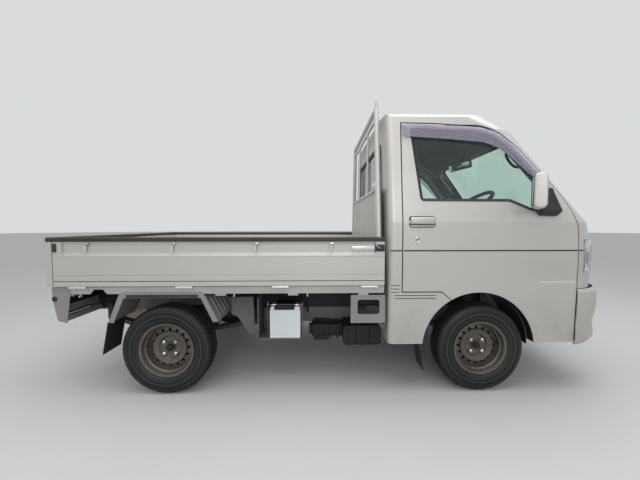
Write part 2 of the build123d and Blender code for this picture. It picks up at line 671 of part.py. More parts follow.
# Sill of the left side with its humps, hinge leaves and rope hook pins
FLOOR_HALF = GATE_IN - GATE_GAP
FLOOR_REAR = TAIL_X + GATE_THICK + GATE_GAP
HINGE_LEAF = HINGE_LENGTH / 3
FRAME_LEAVES = [REAR_AXLE + x + end * HINGE_LEAF for x in HINGE_XS for end in SIDES]
HOOK_PINS = [REAR_AXLE + x for x in HOOK_PIN_XS]
with BuildPart() as sill:
    block(TAIL_X + 12, BED_FRONT, SILL_Y - 60, SILL_Y, SILL_FOOT, SILL_TOP)
    block(TAIL_X + 8, BED_FRONT + 4, SILL_Y - 62, SILL_Y - 6, SILL_FOOT - 4, SILL_TOP - 16,
          mode=Mode.SUBTRACT)
    with BuildSketch(Plane.XZ.offset(-SILL_Y - 1)) as hump:
        with Locations((REAR_AXLE - 378, SILL_FOOT)):
            Trapezoid(150, 2 * 31, 50)
    extrude(to_extrude=hump.sketch, amount=10, mode=Mode.SUBTRACT)
    with Locations([(x, SILL_Y - 4, SILL_FOOT - 6) for x in HOOK_PINS]):
        Cylinder(5, 16)
    with Locations([(x, SILL_Y - 3, SILL_FOOT - 14) for x in HOOK_PINS]):
        Cylinder(5, 18, rotation=(90, 0, 0))
    with Locations([(x, GATE_HINGE_Y, GATE_HINGE_Z) for x in FRAME_LEAVES]):
        Cylinder(HINGE_RADIUS, HINGE_LEAF - 1, rotation=(0, 90, 0))
    with Locations([(x, (SILL_Y - 4 + GATE_HINGE_Y - 4) / 2, GATE_HINGE_Z - 0.5)
                    for x in FRAME_LEAVES]):
        Box(HINGE_LEAF - 1, GATE_HINGE_Y - SILL_Y, 5)
    with Locations([(x, SILL_Y, SILL_TOP - 13) for x in FRAME_LEAVES]):
        Box(HINGE_LEAF - 1, 6, 24)

# Bed floor with bearers, rear sill and tailgate hinge leaves
FLOOR_RIB_YS = [-FLOOR_HALF + (rib + 0.5) * 2 * FLOOR_HALF / FLOOR_RIBS for rib in range(FLOOR_RIBS)]
TAIL_LEAVES = [y + end * HINGE_LEAF for y in TAIL_HINGE_YS for end in SIDES]
with BuildPart() as bed_floor:
    block(FLOOR_REAR, BED_FRONT, -FLOOR_HALF, FLOOR_HALF, FLOOR_TOP - FLOOR_THICK, FLOOR_TOP)
    with Locations([((FLOOR_REAR + BED_FRONT) / 2 - 10, y, FLOOR_TOP - 2.5) for y in FLOOR_RIB_YS]):
        Box(BED_FRONT - FLOOR_REAR - 120, 24, 5, mode=Mode.SUBTRACT)
    with Locations([(REAR_AXLE + x, 0, (BEARER_FOOT + FLOOR_TOP - FLOOR_THICK) / 2)
                    for x in BEARER_XS]):
        Box(BEARER_WIDTH, 2 * SILL_Y - 12, FLOOR_TOP - FLOOR_THICK - BEARER_FOOT)
    add([sill.part, mirrored(sill.part)])
    block(TAIL_X + 12, TAIL_X + 18, -SILL_Y, SILL_Y, 575, SILL_TOP)
    block(TAIL_X + 12, FLOOR_REAR + 10, -SILL_Y, SILL_Y, SILL_TOP - 12, SILL_TOP)
    with Locations([(TAIL_X + HINGE_RADIUS, y, GATE_HINGE_Z) for y in TAIL_LEAVES]):
        Cylinder(HINGE_RADIUS, HINGE_LEAF - 1, rotation=(90, 0, 0))
    with Locations([(TAIL_X + 14, y, GATE_HINGE_Z - 0.5) for y in TAIL_LEAVES]):
        Box(12, HINGE_LEAF - 4, 5)
save(bed_floor.part, "bed_floor")


def gate_profile(out, inward):
    """Pressed section of a gate: out is the outer face, inward the way to the bed."""
    inner = out + inward * (GATE_THICK - GATE_INSET)
    return ((out + inward * 2, GATE_FOOT), (out, GATE_FOOT + 4), (out, 688), (out + inward * 4, 691),
            (out, 694), (out, 722), (out + inward * 3, 725), (out, 728), (out, 831),
            (out - inward * 1.5, 836), (out - inward * 1.5, 839), (out + inward * 6, 845),
            (out + inward * 11, 858), (out + inward * 11, 908), (out + inward * 3, 917),
            (out + inward * 1, 920), (out + inward * 1, GATE_TOP - CAP_HEIGHT),
            (inner, GATE_TOP - CAP_HEIGHT), (inner, GATE_FOOT))


# Side gates with rope hooks, latch and hinge barrels
for side, name in ((-1, "right"), (1, "left")):
    with BuildPart() as gate:
        face_slab(gate_profile(side * GATE_OUT, -side), GATE_REAR, GATE_FRONT)
        for x in (GATE_REAR, GATE_FRONT - 52):
            block(x, x + 52, side * (GATE_OUT - 14), side * (GATE_OUT - 1), 834, 920)
        for x in HOOK_XS:
            rod((REAR_AXLE + x, side * (GATE_OUT - 5), 868), (REAR_AXLE + x, side * (GATE_OUT - 5), 919),
                5)
        block(REAR_AXLE + 1105, REAR_AXLE + 1240, side * (GATE_OUT - 11.5), side * (GATE_OUT - 1),
              872, 896)
        for x in HINGE_XS:
            rod((REAR_AXLE + x - HINGE_LENGTH / 6, side * GATE_HINGE_Y, GATE_HINGE_Z),
                (REAR_AXLE + x + HINGE_LENGTH / 6, side * GATE_HINGE_Y, GATE_HINGE_Z), HINGE_RADIUS)
            block(REAR_AXLE + x - HINGE_LENGTH / 6, REAR_AXLE + x + HINGE_LENGTH / 6,
                  side * (GATE_HINGE_Y - 3), side * (GATE_HINGE_Y + 4), GATE_HINGE_Z,
                  GATE_FOOT + 14)
    save(gate.part, f"gate_{name}")
    with BuildPart() as cap:
        y0, y1 = sorted((side * GATE_IN, side * HALF))
        block(GATE_REAR, GATE_FRONT, y0, y1, GATE_TOP - CAP_HEIGHT, GATE_TOP)
        fillet(cap.edges().filter_by(Axis.X).group_by(Axis.Z)[-1], radius=7)
    save(cap.part, f"gate_cap_{name}")

# Tailgate
with BuildPart() as tailgate:
    side_slab(gate_profile(TAIL_X + GATE_INSET, 1), -GATE_OUT, GATE_OUT)
    for side in SIDES:
        y0, y1 = sorted((side * (GATE_OUT - 34), side * GATE_OUT))
        block(TAIL_X + GATE_INSET + 1, TAIL_X + GATE_INSET + 16, y0, y1, 834, 920)
    for y in TAIL_HINGE_YS:
        rod((TAIL_X + HINGE_RADIUS, y - HINGE_LENGTH / 6, GATE_HINGE_Z),
            (TAIL_X + HINGE_RADIUS, y + HINGE_LENGTH / 6, GATE_HINGE_Z), HINGE_RADIUS)
        block(TAIL_X + GATE_INSET, TAIL_X + HINGE_RADIUS + 3, y - HINGE_LENGTH / 6,
              y + HINGE_LENGTH / 6, GATE_HINGE_Z, GATE_FOOT + 14)
save(tailgate.part, "tailgate")
with BuildPart() as tailgate_cap:
    block(TAIL_X, TAIL_X + GATE_THICK, -HALF, HALF, GATE_TOP - CAP_HEIGHT, GATE_TOP)
    fillet(tailgate_cap.edges().filter_by(Axis.Y).group_by(Axis.Z)[-1], radius=7)
    fillet(tailgate_cap.edges().filter_by(Axis.Z).group_by(Axis.X)[0], radius=9)
save(tailgate_cap.part, "tailgate_cap")

# Headboard: corrugated sheet between the guard posts
SHEET_X = BED_FRONT - POST_RADIUS - HEADBOARD_DEPTH / 2 - 1
post_lean = (POST_FOOT_Y - POST_TOP_Y) / (GUARD_BAR_Z - FLOOR_TOP)
sheet_foot = POST_FOOT_Y - POST_RADIUS - 2
sheet_top = sheet_foot - post_lean * (GUARD_RAIL_Z - FLOOR_TOP)
with BuildPart() as headboard:
    wave = []
    pitch = 2 * sheet_foot / HEADBOARD_RIBS
    for rib in range(HEADBOARD_RIBS):
        y = -sheet_foot + rib * pitch
        wave += [(SHEET_X, y), (SHEET_X, y + pitch * 0.4), (SHEET_X + HEADBOARD_DEPTH, y + pitch * 0.5),
                 (SHEET_X + HEADBOARD_DEPTH, y + pitch * 0.9)]
    wave.append((SHEET_X, sheet_foot))
    back = [(x + HEADBOARD_SHEET, y) for x, y in reversed(wave)]
    plan_slab(wave + back, FLOOR_TOP, GUARD_RAIL_Z - 14)
    face_slab(((-sheet_foot, FLOOR_TOP), (sheet_foot, FLOOR_TOP), (sheet_top, GUARD_RAIL_Z),
               (-sheet_top, GUARD_RAIL_Z)), SHEET_X - 5, SHEET_X + 30, mode=Mode.INTERSECT)
save(headboard.part, "headboard")

# Guard frame
with BuildPart() as guard_frame:
    bar_x = BED_FRONT - POST_RADIUS
    for side in SIDES:
        rod((bar_x, side * (POST_FOOT_Y + post_lean * 20), FLOOR_TOP - 20),
            (bar_x, side * POST_TOP_Y, GUARD_BAR_Z), POST_RADIUS)
        rod((bar_x, side * POST_TOP_Y, GUARD_BAR_Z), (bar_x, side * POST_TOP_Y, HEIGHT - PEG_LENGTH), 13)
        rod((bar_x, side * POST_TOP_Y, HEIGHT - PEG_LENGTH - 2), (bar_x, side * POST_TOP_Y, HEIGHT), 9)
        rod((bar_x, side * VERTICAL_Y, GUARD_RAIL_Z), (bar_x, side * VERTICAL_Y, GUARD_BAR_Z - 60),
            8)
    rod((bar_x, -POST_TOP_Y, GUARD_BAR_Z), (bar_x, POST_TOP_Y, GUARD_BAR_Z), POST_RADIUS - 1)
    inner_y = POST_TOP_Y + post_lean * 62
    rod((bar_x, -inner_y, GUARD_BAR_Z - 62), (bar_x, inner_y, GUARD_BAR_Z - 62), 9)
    rail_y = POST_TOP_Y + post_lean * (GUARD_BAR_Z - GUARD_RAIL_Z)
    rod((bar_x, -rail_y, GUARD_RAIL_Z), (bar_x, rail_y, GUARD_RAIL_Z), 13)
    block(bar_x - 40, bar_x + 40, -HALF, HALF, FLOOR_TOP - 60, FLOOR_TOP, mode=Mode.SUBTRACT)
save(guard_frame.part, "guard_frame")

# Rear brackets, fenders and mud flaps
with BuildPart() as rear_brackets:
    for side in SIDES:
        y0, y1 = sorted((side * SILL_Y, side * (SILL_Y + 3)))
        side_slab([(REAR_AXLE + x, z) for x, z in
                   ((-641, 650), (-639, 574), (-617, 459), (-564, 442), (-559, 470), (-540, 609),
                    (-540, 650))], y0, y1)
        y2, y3 = sorted((side * (RAIL_Y + 30), side * (SILL_Y + 1)))
        block(REAR_AXLE - 610, REAR_AXLE - 570, y2, y3, 452, 480)
save(rear_brackets.part, "rear_brackets")

with BuildPart() as tail_lamps:
    for side in SIDES:
        y0, y1 = sorted((side * 470, side * 690))
        block(TAIL_X + 24, TAIL_X + 64, y0, y1, 484, 572)
    fillet(tail_lamps.edges().filter_by(Axis.X), radius=8)
save(tail_lamps.part, "tail_lamps")

with BuildPart() as rear_fenders:
    for side in SIDES:
        y0, y1 = sorted((side * FENDER_IN, side * FENDER_OUT))
        side_slab([(REAR_AXLE + x, z) for x, z in
                   ((-326, 443), (-260, 593), (-246, 600), (228, 600), (240, 593), (318, 445),
                    (314, 443), (236, 589), (226, 595), (-244, 595), (-256, 589), (-321, 441))],
                  y0, y1)
        y2, y3 = sorted((side * (FENDER_OUT - 2), side * (SILL_Y + 3)))
        side_slab([(REAR_AXLE + x, z) for x, z in
                   ((-326, 443), (-262, 606), (-242, 625), (222, 625), (240, 606), (318, 445),
                    (286, 445), (216, 590), (-234, 590), (-294, 443))],
                  y2, y3)
        y4, y5 = sorted((side * (SILL_Y - 100), side * SILL_Y))
        block(REAR_AXLE - 330, REAR_AXLE + 330, y4, y5, BEARER_FOOT, 700, mode=Mode.SUBTRACT)
save(rear_fenders.part, "rear_fenders")

with BuildPart() as mud_flaps:
    for side in SIDES:
        y0, y1 = sorted((side * 560, side * FENDER_OUT))
        side_slab([(REAR_AXLE + x, z) for x, z in
                   ((-324.3, 448), (-326.4, 443), (-363, 251), (-368, 252), (-332, 444),
                    (-329.5, 449))], y0, y1)
        y2, y3 = sorted((side * 590, side * 705))
        side_slab([(REAR_AXLE + x, z) for x, z in
                   ((1522, 300), (1528.2, 300), (1527.6, 280), (1554, 135), (1549, 134),
                    (1522, 280))], y2, y3)
save(mud_flaps.part, "mud_flaps")

# Ladder frame
with BuildPart() as ladder_frame:
    top = [(TAIL_X + 24, RAIL_TOP + RAIL_KICK), (REAR_AXLE + 230, RAIL_TOP + RAIL_KICK),
           (REAR_AXLE + 430, RAIL_TOP), (FRONT_AXLE + 110, RAIL_TOP),
           (FRONT_AXLE + 280, NOSE_RAIL_TOP), (NOSE_X - 72, NOSE_RAIL_TOP)]
    foot = [(NOSE_X - 72, NOSE_RAIL_TOP - NOSE_RAIL_HEIGHT),
            (FRONT_AXLE + 290, NOSE_RAIL_TOP - NOSE_RAIL_HEIGHT),
            (FRONT_AXLE + 110, RAIL_TOP - RAIL_HEIGHT), (REAR_AXLE + 430, RAIL_TOP - RAIL_HEIGHT),
            (REAR_AXLE + 230, RAIL_TOP + RAIL_KICK - RAIL_HEIGHT),
            (TAIL_X + 24, RAIL_TOP + RAIL_KICK - RAIL_HEIGHT)]
    for side in SIDES:
        side_slab(top + foot, side * RAIL_Y - RAIL_WIDTH / 2, side * RAIL_Y + RAIL_WIDTH / 2)
    for x, z in CROSS_MEMBERS:
        block(REAR_AXLE + x - 30, REAR_AXLE + x + 30, -RAIL_Y, RAIL_Y, z - 40, z)
    for side in SIDES:
        block(REAR_AXLE + 1565, REAR_AXLE + 1625, side * RAIL_Y - 30, side * RAIL_Y + 30,
              ENGINE_FOOT - 18, RAIL_TOP - RAIL_HEIGHT + 5)
    block(REAR_AXLE + 1565, REAR_AXLE + 1625, -RAIL_Y - 30, RAIL_Y + 30, ENGINE_FOOT - 18,
          ENGINE_FOOT)
save(ladder_frame.part, "ladder_frame")

# Stands that carry the bed and the cab on the rails
with BuildPart() as bed_stands:
    for side in SIDES:
        for x in BEARER_XS:
            block(REAR_AXLE + x - 26, REAR_AXLE + x + 26, side * RAIL_Y - 24, side * RAIL_Y + 24,
                  RAIL_TOP - 30, BEARER_FOOT)
        block(REAR_AXLE + 2400, REAR_AXLE + 2450, side * RAIL_Y - 20, side * RAIL_Y + 20,
              NOSE_RAIL_TOP - 30, FOOT_WELL_Z)
        block(REAR_AXLE + 1368, REAR_AXLE + 1408, side * RAIL_Y - 20, side * RAIL_Y + 20,
              RAIL_TOP - 30, PLATFORM_Z)
        side_slab([(TAIL_X, 200)] + top + [(NOSE_X - 72, 200)], side * RAIL_Y - RAIL_WIDTH / 2,
                  side * RAIL_Y + RAIL_WIDTH / 2, mode=Mode.SUBTRACT)
save(bed_stands.part, "bed_stands")

# Strut towers
with BuildPart() as strut_towers:
    for side in SIDES:
        y4, y5 = sorted((side * RAIL_Y, side * 600))
        block(FRONT_AXLE - 58, FRONT_AXLE + 58, y4, y5, STRUT_TOP_Z + 1, STRUT_TOP_Z + 7)
        y6, y7 = sorted((side * RAIL_Y, side * (RAIL_Y + 34)))
        block(FRONT_AXLE - 58, FRONT_AXLE + 58, y6, y7, RAIL_TOP, STRUT_TOP_Z + 7)
save(strut_towers.part, "strut_towers")

# Side brackets with their window plates, and the bars that carry the tail lamps
with BuildPart() as side_brackets:
    for side in SIDES:
        y0, y1 = sorted((side * (RAIL_Y + RAIL_WIDTH / 2), side * 704))
        block(REAR_AXLE + 1190, REAR_AXLE + 1240, y0, y1, 440, 448)
        y2, y3 = sorted((side * 704, side * 710))
        block(REAR_AXLE + 1105, REAR_AXLE + 1312, y2, y3, 430, BEARER_FOOT)
        with BuildSketch(Plane.XZ.offset(-y3)) as plate_window:
            with Locations((REAR_AXLE + 1212, 527)):
                RectangleRounded(132, 88, 14)
        extrude(to_extrude=plate_window.sketch, amount=y3 - y2, mode=Mode.SUBTRACT)
        y4, y5 = sorted((side * (RAIL_Y + RAIL_WIDTH / 2), side * 690))
        block(TAIL_X + 64, TAIL_X + 70, y4, y5, 500, 545)
save(side_brackets.part, "side_brackets")

# Rear axle with leaf springs and the propeller shaft
with BuildPart() as rear_axle:
    axle_end = WHEEL_Y - 9.3
    rod((REAR_AXLE, -axle_end, AXLE_Z), (REAR_AXLE, axle_end, AXLE_Z), 32)
    with Locations((REAR_AXLE, 0, AXLE_Z)):
        Sphere(104)
    for side in SIDES:
        rod((REAR_AXLE, side * (WHEEL_Y - 60), AXLE_Z), (REAR_AXLE, side * (WHEEL_Y - 14), AXLE_Z), 112)
        spring_y = side * SPRING_Y
        with BuildSketch(Plane.XZ.offset(-spring_y - 27)) as leaf:
            with BuildLine():
                ThreePointArc((REAR_AXLE - 480, 398), (REAR_AXLE, 300), (REAR_AXLE + 480, 370))
                Line((REAR_AXLE + 480, 370), (REAR_AXLE + 480, 392))
                ThreePointArc((REAR_AXLE + 480, 392), (REAR_AXLE, 326), (REAR_AXLE - 480, 420))
                Line((REAR_AXLE - 480, 420), (REAR_AXLE - 480, 398))
            make_face()
        extrude(to_extrude=leaf.sketch, amount=54)
        block(REAR_AXLE - 45, REAR_AXLE + 45, spring_y - 30, spring_y + 30, AXLE_Z - 20, 332)
        block(REAR_AXLE + 465, REAR_AXLE + 495, spring_y - 20, spring_y + 20, 350, 404)
        block(REAR_AXLE - 495, REAR_AXLE - 465, spring_y - 20, spring_y + 20, 390, 500)
        for pin_x, pin_z in ((480, 380), (-480, 485)):
            rod((REAR_AXLE + pin_x, side * (RAIL_Y + RAIL_WIDTH / 2), pin_z),
                (REAR_AXLE + pin_x, side * (SPRING_Y - 8), pin_z), 10)
    rod((REAR_AXLE + 60, 0, AXLE_Z + 6), (REAR_AXLE + 985, 0, 356), 28)
save(rear_axle.part, "rear_axle")

# Front suspension: cross member, lower arms and steering rack
with BuildPart() as front_suspension:
    block(FRONT_AXLE - 60, FRONT_AXLE + 60, -RAIL_Y - 20, RAIL_Y + 20, 190, 238)
    for side in SIDES:
        block(FRONT_AXLE - 40, FRONT_AXLE + 40, side * RAIL_Y - 25, side * RAIL_Y + 25, 230,
              RAIL_TOP - RAIL_HEIGHT)
        rod((FRONT_AXLE, side * 380, 200), (FRONT_AXLE, side * (KINGPIN_FOOT_Y - 14), 140), 12)
        rod((FRONT_AXLE + 290, side * 350, 305), (FRONT_AXLE + 6, side * (KINGPIN_FOOT_Y - 50), 150), 11)
    rod((FRONT_AXLE + 96, -430, 262), (FRONT_AXLE + 96, 430, 262), 20)
    block(FRONT_AXLE + 50, FRONT_AXLE + 110, -300, -260, 225, 250)
    block(FRONT_AXLE + 50, FRONT_AXLE + 110, 260, 300, 225, 250)
save(front_suspension.part, "front_suspension")

# Knuckles with their struts
def strut_y(height):
    """Distance from the centre plane of the steering axis at a height."""
    lean = (KINGPIN_FOOT_Y - STRUT_TOP_Y) / (STRUT_TOP_Z - KINGPIN_FOOT_Z)
    return KINGPIN_FOOT_Y - (height - KINGPIN_FOOT_Z) * lean


for side, name in ((-1, "right"), (1, "left")):
    with BuildPart() as knuckle:
        rod((FRONT_AXLE, side * (WHEEL_Y - 68), AXLE_Z), (FRONT_AXLE, side * (WHEEL_Y - 9.3), AXLE_Z), 30)
        rod((FRONT_AXLE, side * (WHEEL_Y - 40), AXLE_Z), (FRONT_AXLE, side * (WHEEL_Y - 30), AXLE_Z), 118)
        block(FRONT_AXLE - 20, FRONT_AXLE + 20, side * (WHEEL_Y - 60), side * (WHEEL_Y - 36),
              KINGPIN_FOOT_Z + 2, 380)
        rod((FRONT_AXLE, side * (KINGPIN_FOOT_Y - 6), KINGPIN_FOOT_Z - 5),
            (FRONT_AXLE, side * (KINGPIN_FOOT_Y - 6), KINGPIN_FOOT_Z + 20), 14)
        block(FRONT_AXLE - 18, FRONT_AXLE + 18, side * (STRUT_TOP_Y - 2), side * (WHEEL_Y - 50), 320,
              376)
        rod((FRONT_AXLE, side * (STRUT_TOP_Y + 8), 300), (FRONT_AXLE, side * STRUT_TOP_Y, 480), 22)
        rod((FRONT_AXLE, side * STRUT_TOP_Y, 470), (FRONT_AXLE, side * STRUT_TOP_Y, 478), 38)
        rod((FRONT_AXLE, side * STRUT_TOP_Y, 478), (FRONT_AXLE, side * STRUT_TOP_Y, STRUT_TOP_Z - 8),
            34)
        rod((FRONT_AXLE, side * strut_y(555), 555), (FRONT_AXLE, side * strut_y(STRUT_TOP_Z - 1.3),
                                                     STRUT_TOP_Z - 1.3), 12)
    save(knuckle.part, f"knuckle_{name}")

# Wheels: rims with hub and nuts, tyres
for axle, axle_name in ((FRONT_AXLE, "front"), (REAR_AXLE, "rear")):
    for side, name in ((-1, "right"), (1, "left")):
        centre = (axle, side * WHEEL_Y, AXLE_Z)
        spin_axis = Axis(centre, (0, 1, 0))
        with BuildPart() as tyre:
            with BuildSketch(Plane(origin=centre, x_dir=(1, 0, 0), z_dir=(0, 0, 1))) as section:
                with BuildLine() as casing:
                    Line((TYRE_RADIUS, 0), (TYRE_RADIUS, 40))
                    ThreePointArc((TYRE_RADIUS, 40), (TYRE_RADIUS - 4, 53), (TYRE_RADIUS - 13, 61))
                    ThreePointArc((TYRE_RADIUS - 13, 61), (214, TYRE_WIDTH / 2), (167, 57.6))
                    Polyline((167, 57.6), (158.6, 56), (153.3, 50), (153.3, 42), (160, 44))
                    ThreePointArc((160, 44), (212, TYRE_WIDTH / 2 - 9), (TYRE_RADIUS - 16, 46))
                    Polyline((TYRE_RADIUS - 16, 46), (TYRE_RADIUS - 13, 30), (TYRE_RADIUS - 13, 0))
                    mirror(casing.line, about=Plane.XZ)
                make_face()
            revolve(section.sketch, axis=spin_axis)
        save(tyre.part, f"tyre_{axle_name}_{name}")
        with BuildPart() as rim:
            with BuildSketch(Plane(origin=centre, x_dir=(1, 0, 0), z_dir=(0, 0, 1))) as section:
                with BuildLine():
                    Polyline(*[(r, side * w) for r, w in RIM_POINTS], close=True)
                make_face()
            revolve(section.sketch, axis=spin_axis)
            with BuildSketch(Plane(origin=(axle, side * (WHEEL_Y + 30), AXLE_Z), x_dir=(1, 0, 0),
                                   z_dir=(0, -side, 0))) as holes:
                with PolarLocations(HOLE_CIRCLE / 2, HOLE_COUNT):
                    Circle(HOLE_RADIUS)
            extrude(to_extrude=holes.sketch, amount=40, mode=Mode.SUBTRACT)
            with BuildSketch(Plane(origin=(axle, side * (WHEEL_Y - 9), AXLE_Z), x_dir=(1, 0, 0),
                                   z_dir=(0, side, 0))) as hub:
                Circle(HUB_RADIUS + 30)
            extrude(to_extrude=hub.sketch, amount=10)
            with BuildSketch(Plane(origin=(axle, side * (WHEEL_Y - 2), AXLE_Z), x_dir=(1, 0, 0),
                                   z_dir=(0, side, 0))) as nuts:
                with PolarLocations(NUT_CIRCLE / 2, 4, start_angle=45):
                    RegularPolygon(10.5, 6)
            extrude(to_extrude=nuts.sketch, amount=21)
        save(rim.part, f"rim_{axle_name}_{name}")

# Engine and gearbox
with BuildPart() as engine:
    block(REAR_AXLE + 1400, REAR_AXLE + 1790, -250, 250, ENGINE_FOOT, 740)
    fillet(engine.edges().filter_by(Axis.X), radius=50)
    rod((REAR_AXLE + 1000, 0, 360), (REAR_AXLE + 1402, 0, 360), 110)
save(engine.part, "engine")

# Exhaust with its muffler behind the rear axle
with BuildPart() as exhaust:
    with BuildSketch(Plane.XZ.offset(260)) as drum:
        with Locations((REAR_AXLE - 440, 360)):
            Ellipse(88, 56)
    extrude(to_extrude=drum.sketch, amount=-480)
    rod((REAR_AXLE - 440, 215, 360), (REAR_AXLE - 440, 300, 360), 20)
    for y in (-225, 185):
        block(REAR_AXLE - 455, REAR_AXLE - 425, y - 5, y + 5, 405, 437)
    block(REAR_AXLE - 455, REAR_AXLE - 425, -372, -220, 431, 437)
    block(REAR_AXLE - 455, REAR_AXLE - 425, 180, 372, 431, 437)
    rod((REAR_AXLE - 370, 180, 372), (REAR_AXLE + 100, 180, 400), 19)
    rod((REAR_AXLE + 100, 180, 400), (REAR_AXLE + 420, 180, 360), 19)
    rod((REAR_AXLE + 420, 180, 360), (REAR_AXLE + 1399, 180, 340), 19)
    for joint_x, joint_z in ((100, 400), (420, 360)):
        with Locations((REAR_AXLE + joint_x, 180, joint_z)):
            Sphere(19)
save(exhaust.part, "exhaust")

# Fuel tank on the left, battery on the right
with BuildPart() as fuel_tank:
    block(REAR_AXLE + 540, REAR_AXLE + 1080, 400, 688, 268, 446)
    fillet(fuel_tank.edges().filter_by(Axis.X), radius=34)
save(fuel_tank.part, "fuel_tank")

with BuildPart() as battery_tray:
    block(REAR_AXLE + 530, REAR_AXLE + 800, -600, -400, 292, 298)
    block(REAR_AXLE + 524, REAR_AXLE + 530, -600, -400, 292, 560)
    block(REAR_AXLE + 524, REAR_AXLE + 800, -406, -400, 292, 440)
save(battery_tray.part, "battery_tray")
with BuildPart() as battery:
    block(REAR_AXLE + 602, REAR_AXLE + 794, -596, -468, 298.3, 480)
    block(REAR_AXLE + 606, REAR_AXLE + 790, -592, -472, 478, 497)
save(battery.part, "battery")

# Air cleaner case
with BuildPart() as air_cleaner:
    block(REAR_AXLE + 1070, CAB_REAR - 10, -590, -400, 245, 372)
    fillet(air_cleaner.edges().filter_by(Axis.Y), radius=26)
    for groove_x in (REAR_AXLE + 1142, REAR_AXLE + 1230):
        block(groove_x, groove_x + 14, -600, -582, 240, 380, mode=Mode.SUBTRACT)
    rod((REAR_AXLE + 850, -470, 318), (REAR_AXLE + 1080, -470, 318), 36)
    block(REAR_AXLE + 880, REAR_AXLE + 980, -530, -400, 258, 366)
save(air_cleaner.part, "air_cleaner")
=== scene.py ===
"""Dresses the kei truck: finishes for its measured solids, tyres, trim, lamps, seats, cabin and studio."""
import math

import bmesh
import bpy
from bpy.props import FloatProperty, FloatVectorProperty, IntProperty, PointerProperty
from mathutils import Matrix, Vector
from mathutils.bvhtree import BVHTree


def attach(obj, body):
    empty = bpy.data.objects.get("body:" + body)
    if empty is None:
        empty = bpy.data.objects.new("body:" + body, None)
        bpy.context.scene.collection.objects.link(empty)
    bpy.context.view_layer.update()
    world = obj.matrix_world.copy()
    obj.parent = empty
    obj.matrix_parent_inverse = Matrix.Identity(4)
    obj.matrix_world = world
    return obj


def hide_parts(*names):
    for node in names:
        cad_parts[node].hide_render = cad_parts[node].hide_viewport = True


bl_info = {
    "name": "Kei truck dressing",
    "version": (1, 0, 0),
    "blender": (4, 5, 0),
    "location": "3D View > Sidebar > Kei truck",
    "description": "Finishes, trim, soft seats and studio for a drop-side kei truck",
    "category": "Object",
}

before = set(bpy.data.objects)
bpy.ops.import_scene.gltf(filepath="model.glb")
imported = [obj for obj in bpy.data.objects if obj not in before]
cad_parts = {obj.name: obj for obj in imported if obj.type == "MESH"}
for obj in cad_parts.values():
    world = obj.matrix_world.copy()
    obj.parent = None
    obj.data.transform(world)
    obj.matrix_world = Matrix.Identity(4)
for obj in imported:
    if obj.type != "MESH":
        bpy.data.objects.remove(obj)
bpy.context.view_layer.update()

# Places taken from the measured solids, in metres: +X forward, +Y left, +Z up
FRONT_AXLE = 0.8625
REAR_AXLE = -1.0375
WHEEL_Y = 0.645
AXLE_Z = 0.268
SIDES = ((-1, "right"), (1, "left"))
WHEELS = tuple((f"{end}_{name}", x, side) for end, x in (("front", FRONT_AXLE), ("rear", REAR_AXLE))
               for side, name in SIDES)

# Outline of a door window in X and Z, and of the two screens in Y and Z, with their corner radii
SIDE_WINDOW = ((0.4835, 1.165), (1.0125, 1.163), (1.1325, 1.112), (1.3075, 1.1), (1.2525, 1.212),
               (1.0405, 1.468), (0.9245, 1.56), (0.8125, 1.59), (0.4305, 1.602))
SIDE_WINDOW_CORNER = 0.022
WINDSCREEN = ((-0.61, 1.062), (0.61, 1.062), (0.54, 1.585), (-0.54, 1.585))
REAR_WINDOW = ((-0.52, 1.195), (0.52, 1.195), (0.475, 1.56), (-0.475, 1.56))
SCREEN_CORNER = 0.06


class TruckColours(bpy.types.PropertyGroup):
    """Colours of the truck's finishes."""

    paint: FloatVectorProperty(name="Body paint", description="Silver-grey of the cab and the gates",
                               subtype="COLOR", size=3, min=0, max=1, default=(0.52, 0.503, 0.475))
    rims: FloatVectorProperty(name="Rims", description="Bronze-grey of the steel wheels",
                              subtype="COLOR", size=3, min=0, max=1, default=(0.11, 0.1, 0.09))
    chassis: FloatVectorProperty(name="Chassis", description="Black of the frame and the axles",
                                 subtype="COLOR", size=3, min=0, max=1, default=(0.022, 0.021, 0.02))
    glass: FloatVectorProperty(name="Glass", description="Pale green of the windows",
                               subtype="COLOR", size=3, min=0, max=1, default=(0.78, 0.93, 0.86))
    visor: FloatVectorProperty(name="Rain visors", description="Smoke purple of the window visors",
                               subtype="COLOR", size=3, min=0, max=1, default=(0.66, 0.63, 0.75))
    seats: FloatVectorProperty(name="Seat cloth", description="Grey of the woven seat covers",
                               subtype="COLOR", size=3, min=0, max=1, default=(0.1, 0.1, 0.115))
    dust: FloatVectorProperty(name="Road dust", description="Pale brown dust on tyres and sills",
                              subtype="COLOR", size=3, min=0, max=1, default=(0.24, 0.2, 0.155))


class TruckSizes(bpy.types.PropertyGroup):
    """Sizes of the fine pieces."""

    seal: FloatProperty(name="Window seal", description="Width of the rubber round each window",
                        subtype="DISTANCE", unit="LENGTH", default=0.016, min=0.004, max=0.03)
    visor_height: FloatProperty(name="Visor height", description="Height of the rain visors",
                                subtype="DISTANCE", unit="LENGTH", default=0.085, min=0.04, max=0.12)
    tread_blocks: IntProperty(name="Tread blocks", description="Tread blocks round each tyre",
                              default=64, min=24, max=96)
    groove: FloatProperty(name="Tread groove", description="Depth of the grooves in the tyres",
                          subtype="DISTANCE", unit="LENGTH", default=0.006, min=0.002, max=0.009)
    lamp_power: FloatProperty(name="Studio lamps", description="Power of the soft lamp above the truck",
                              subtype="POWER", unit="POWER", default=150.0, min=0.0, max=2000.0)


# Node groups and materials

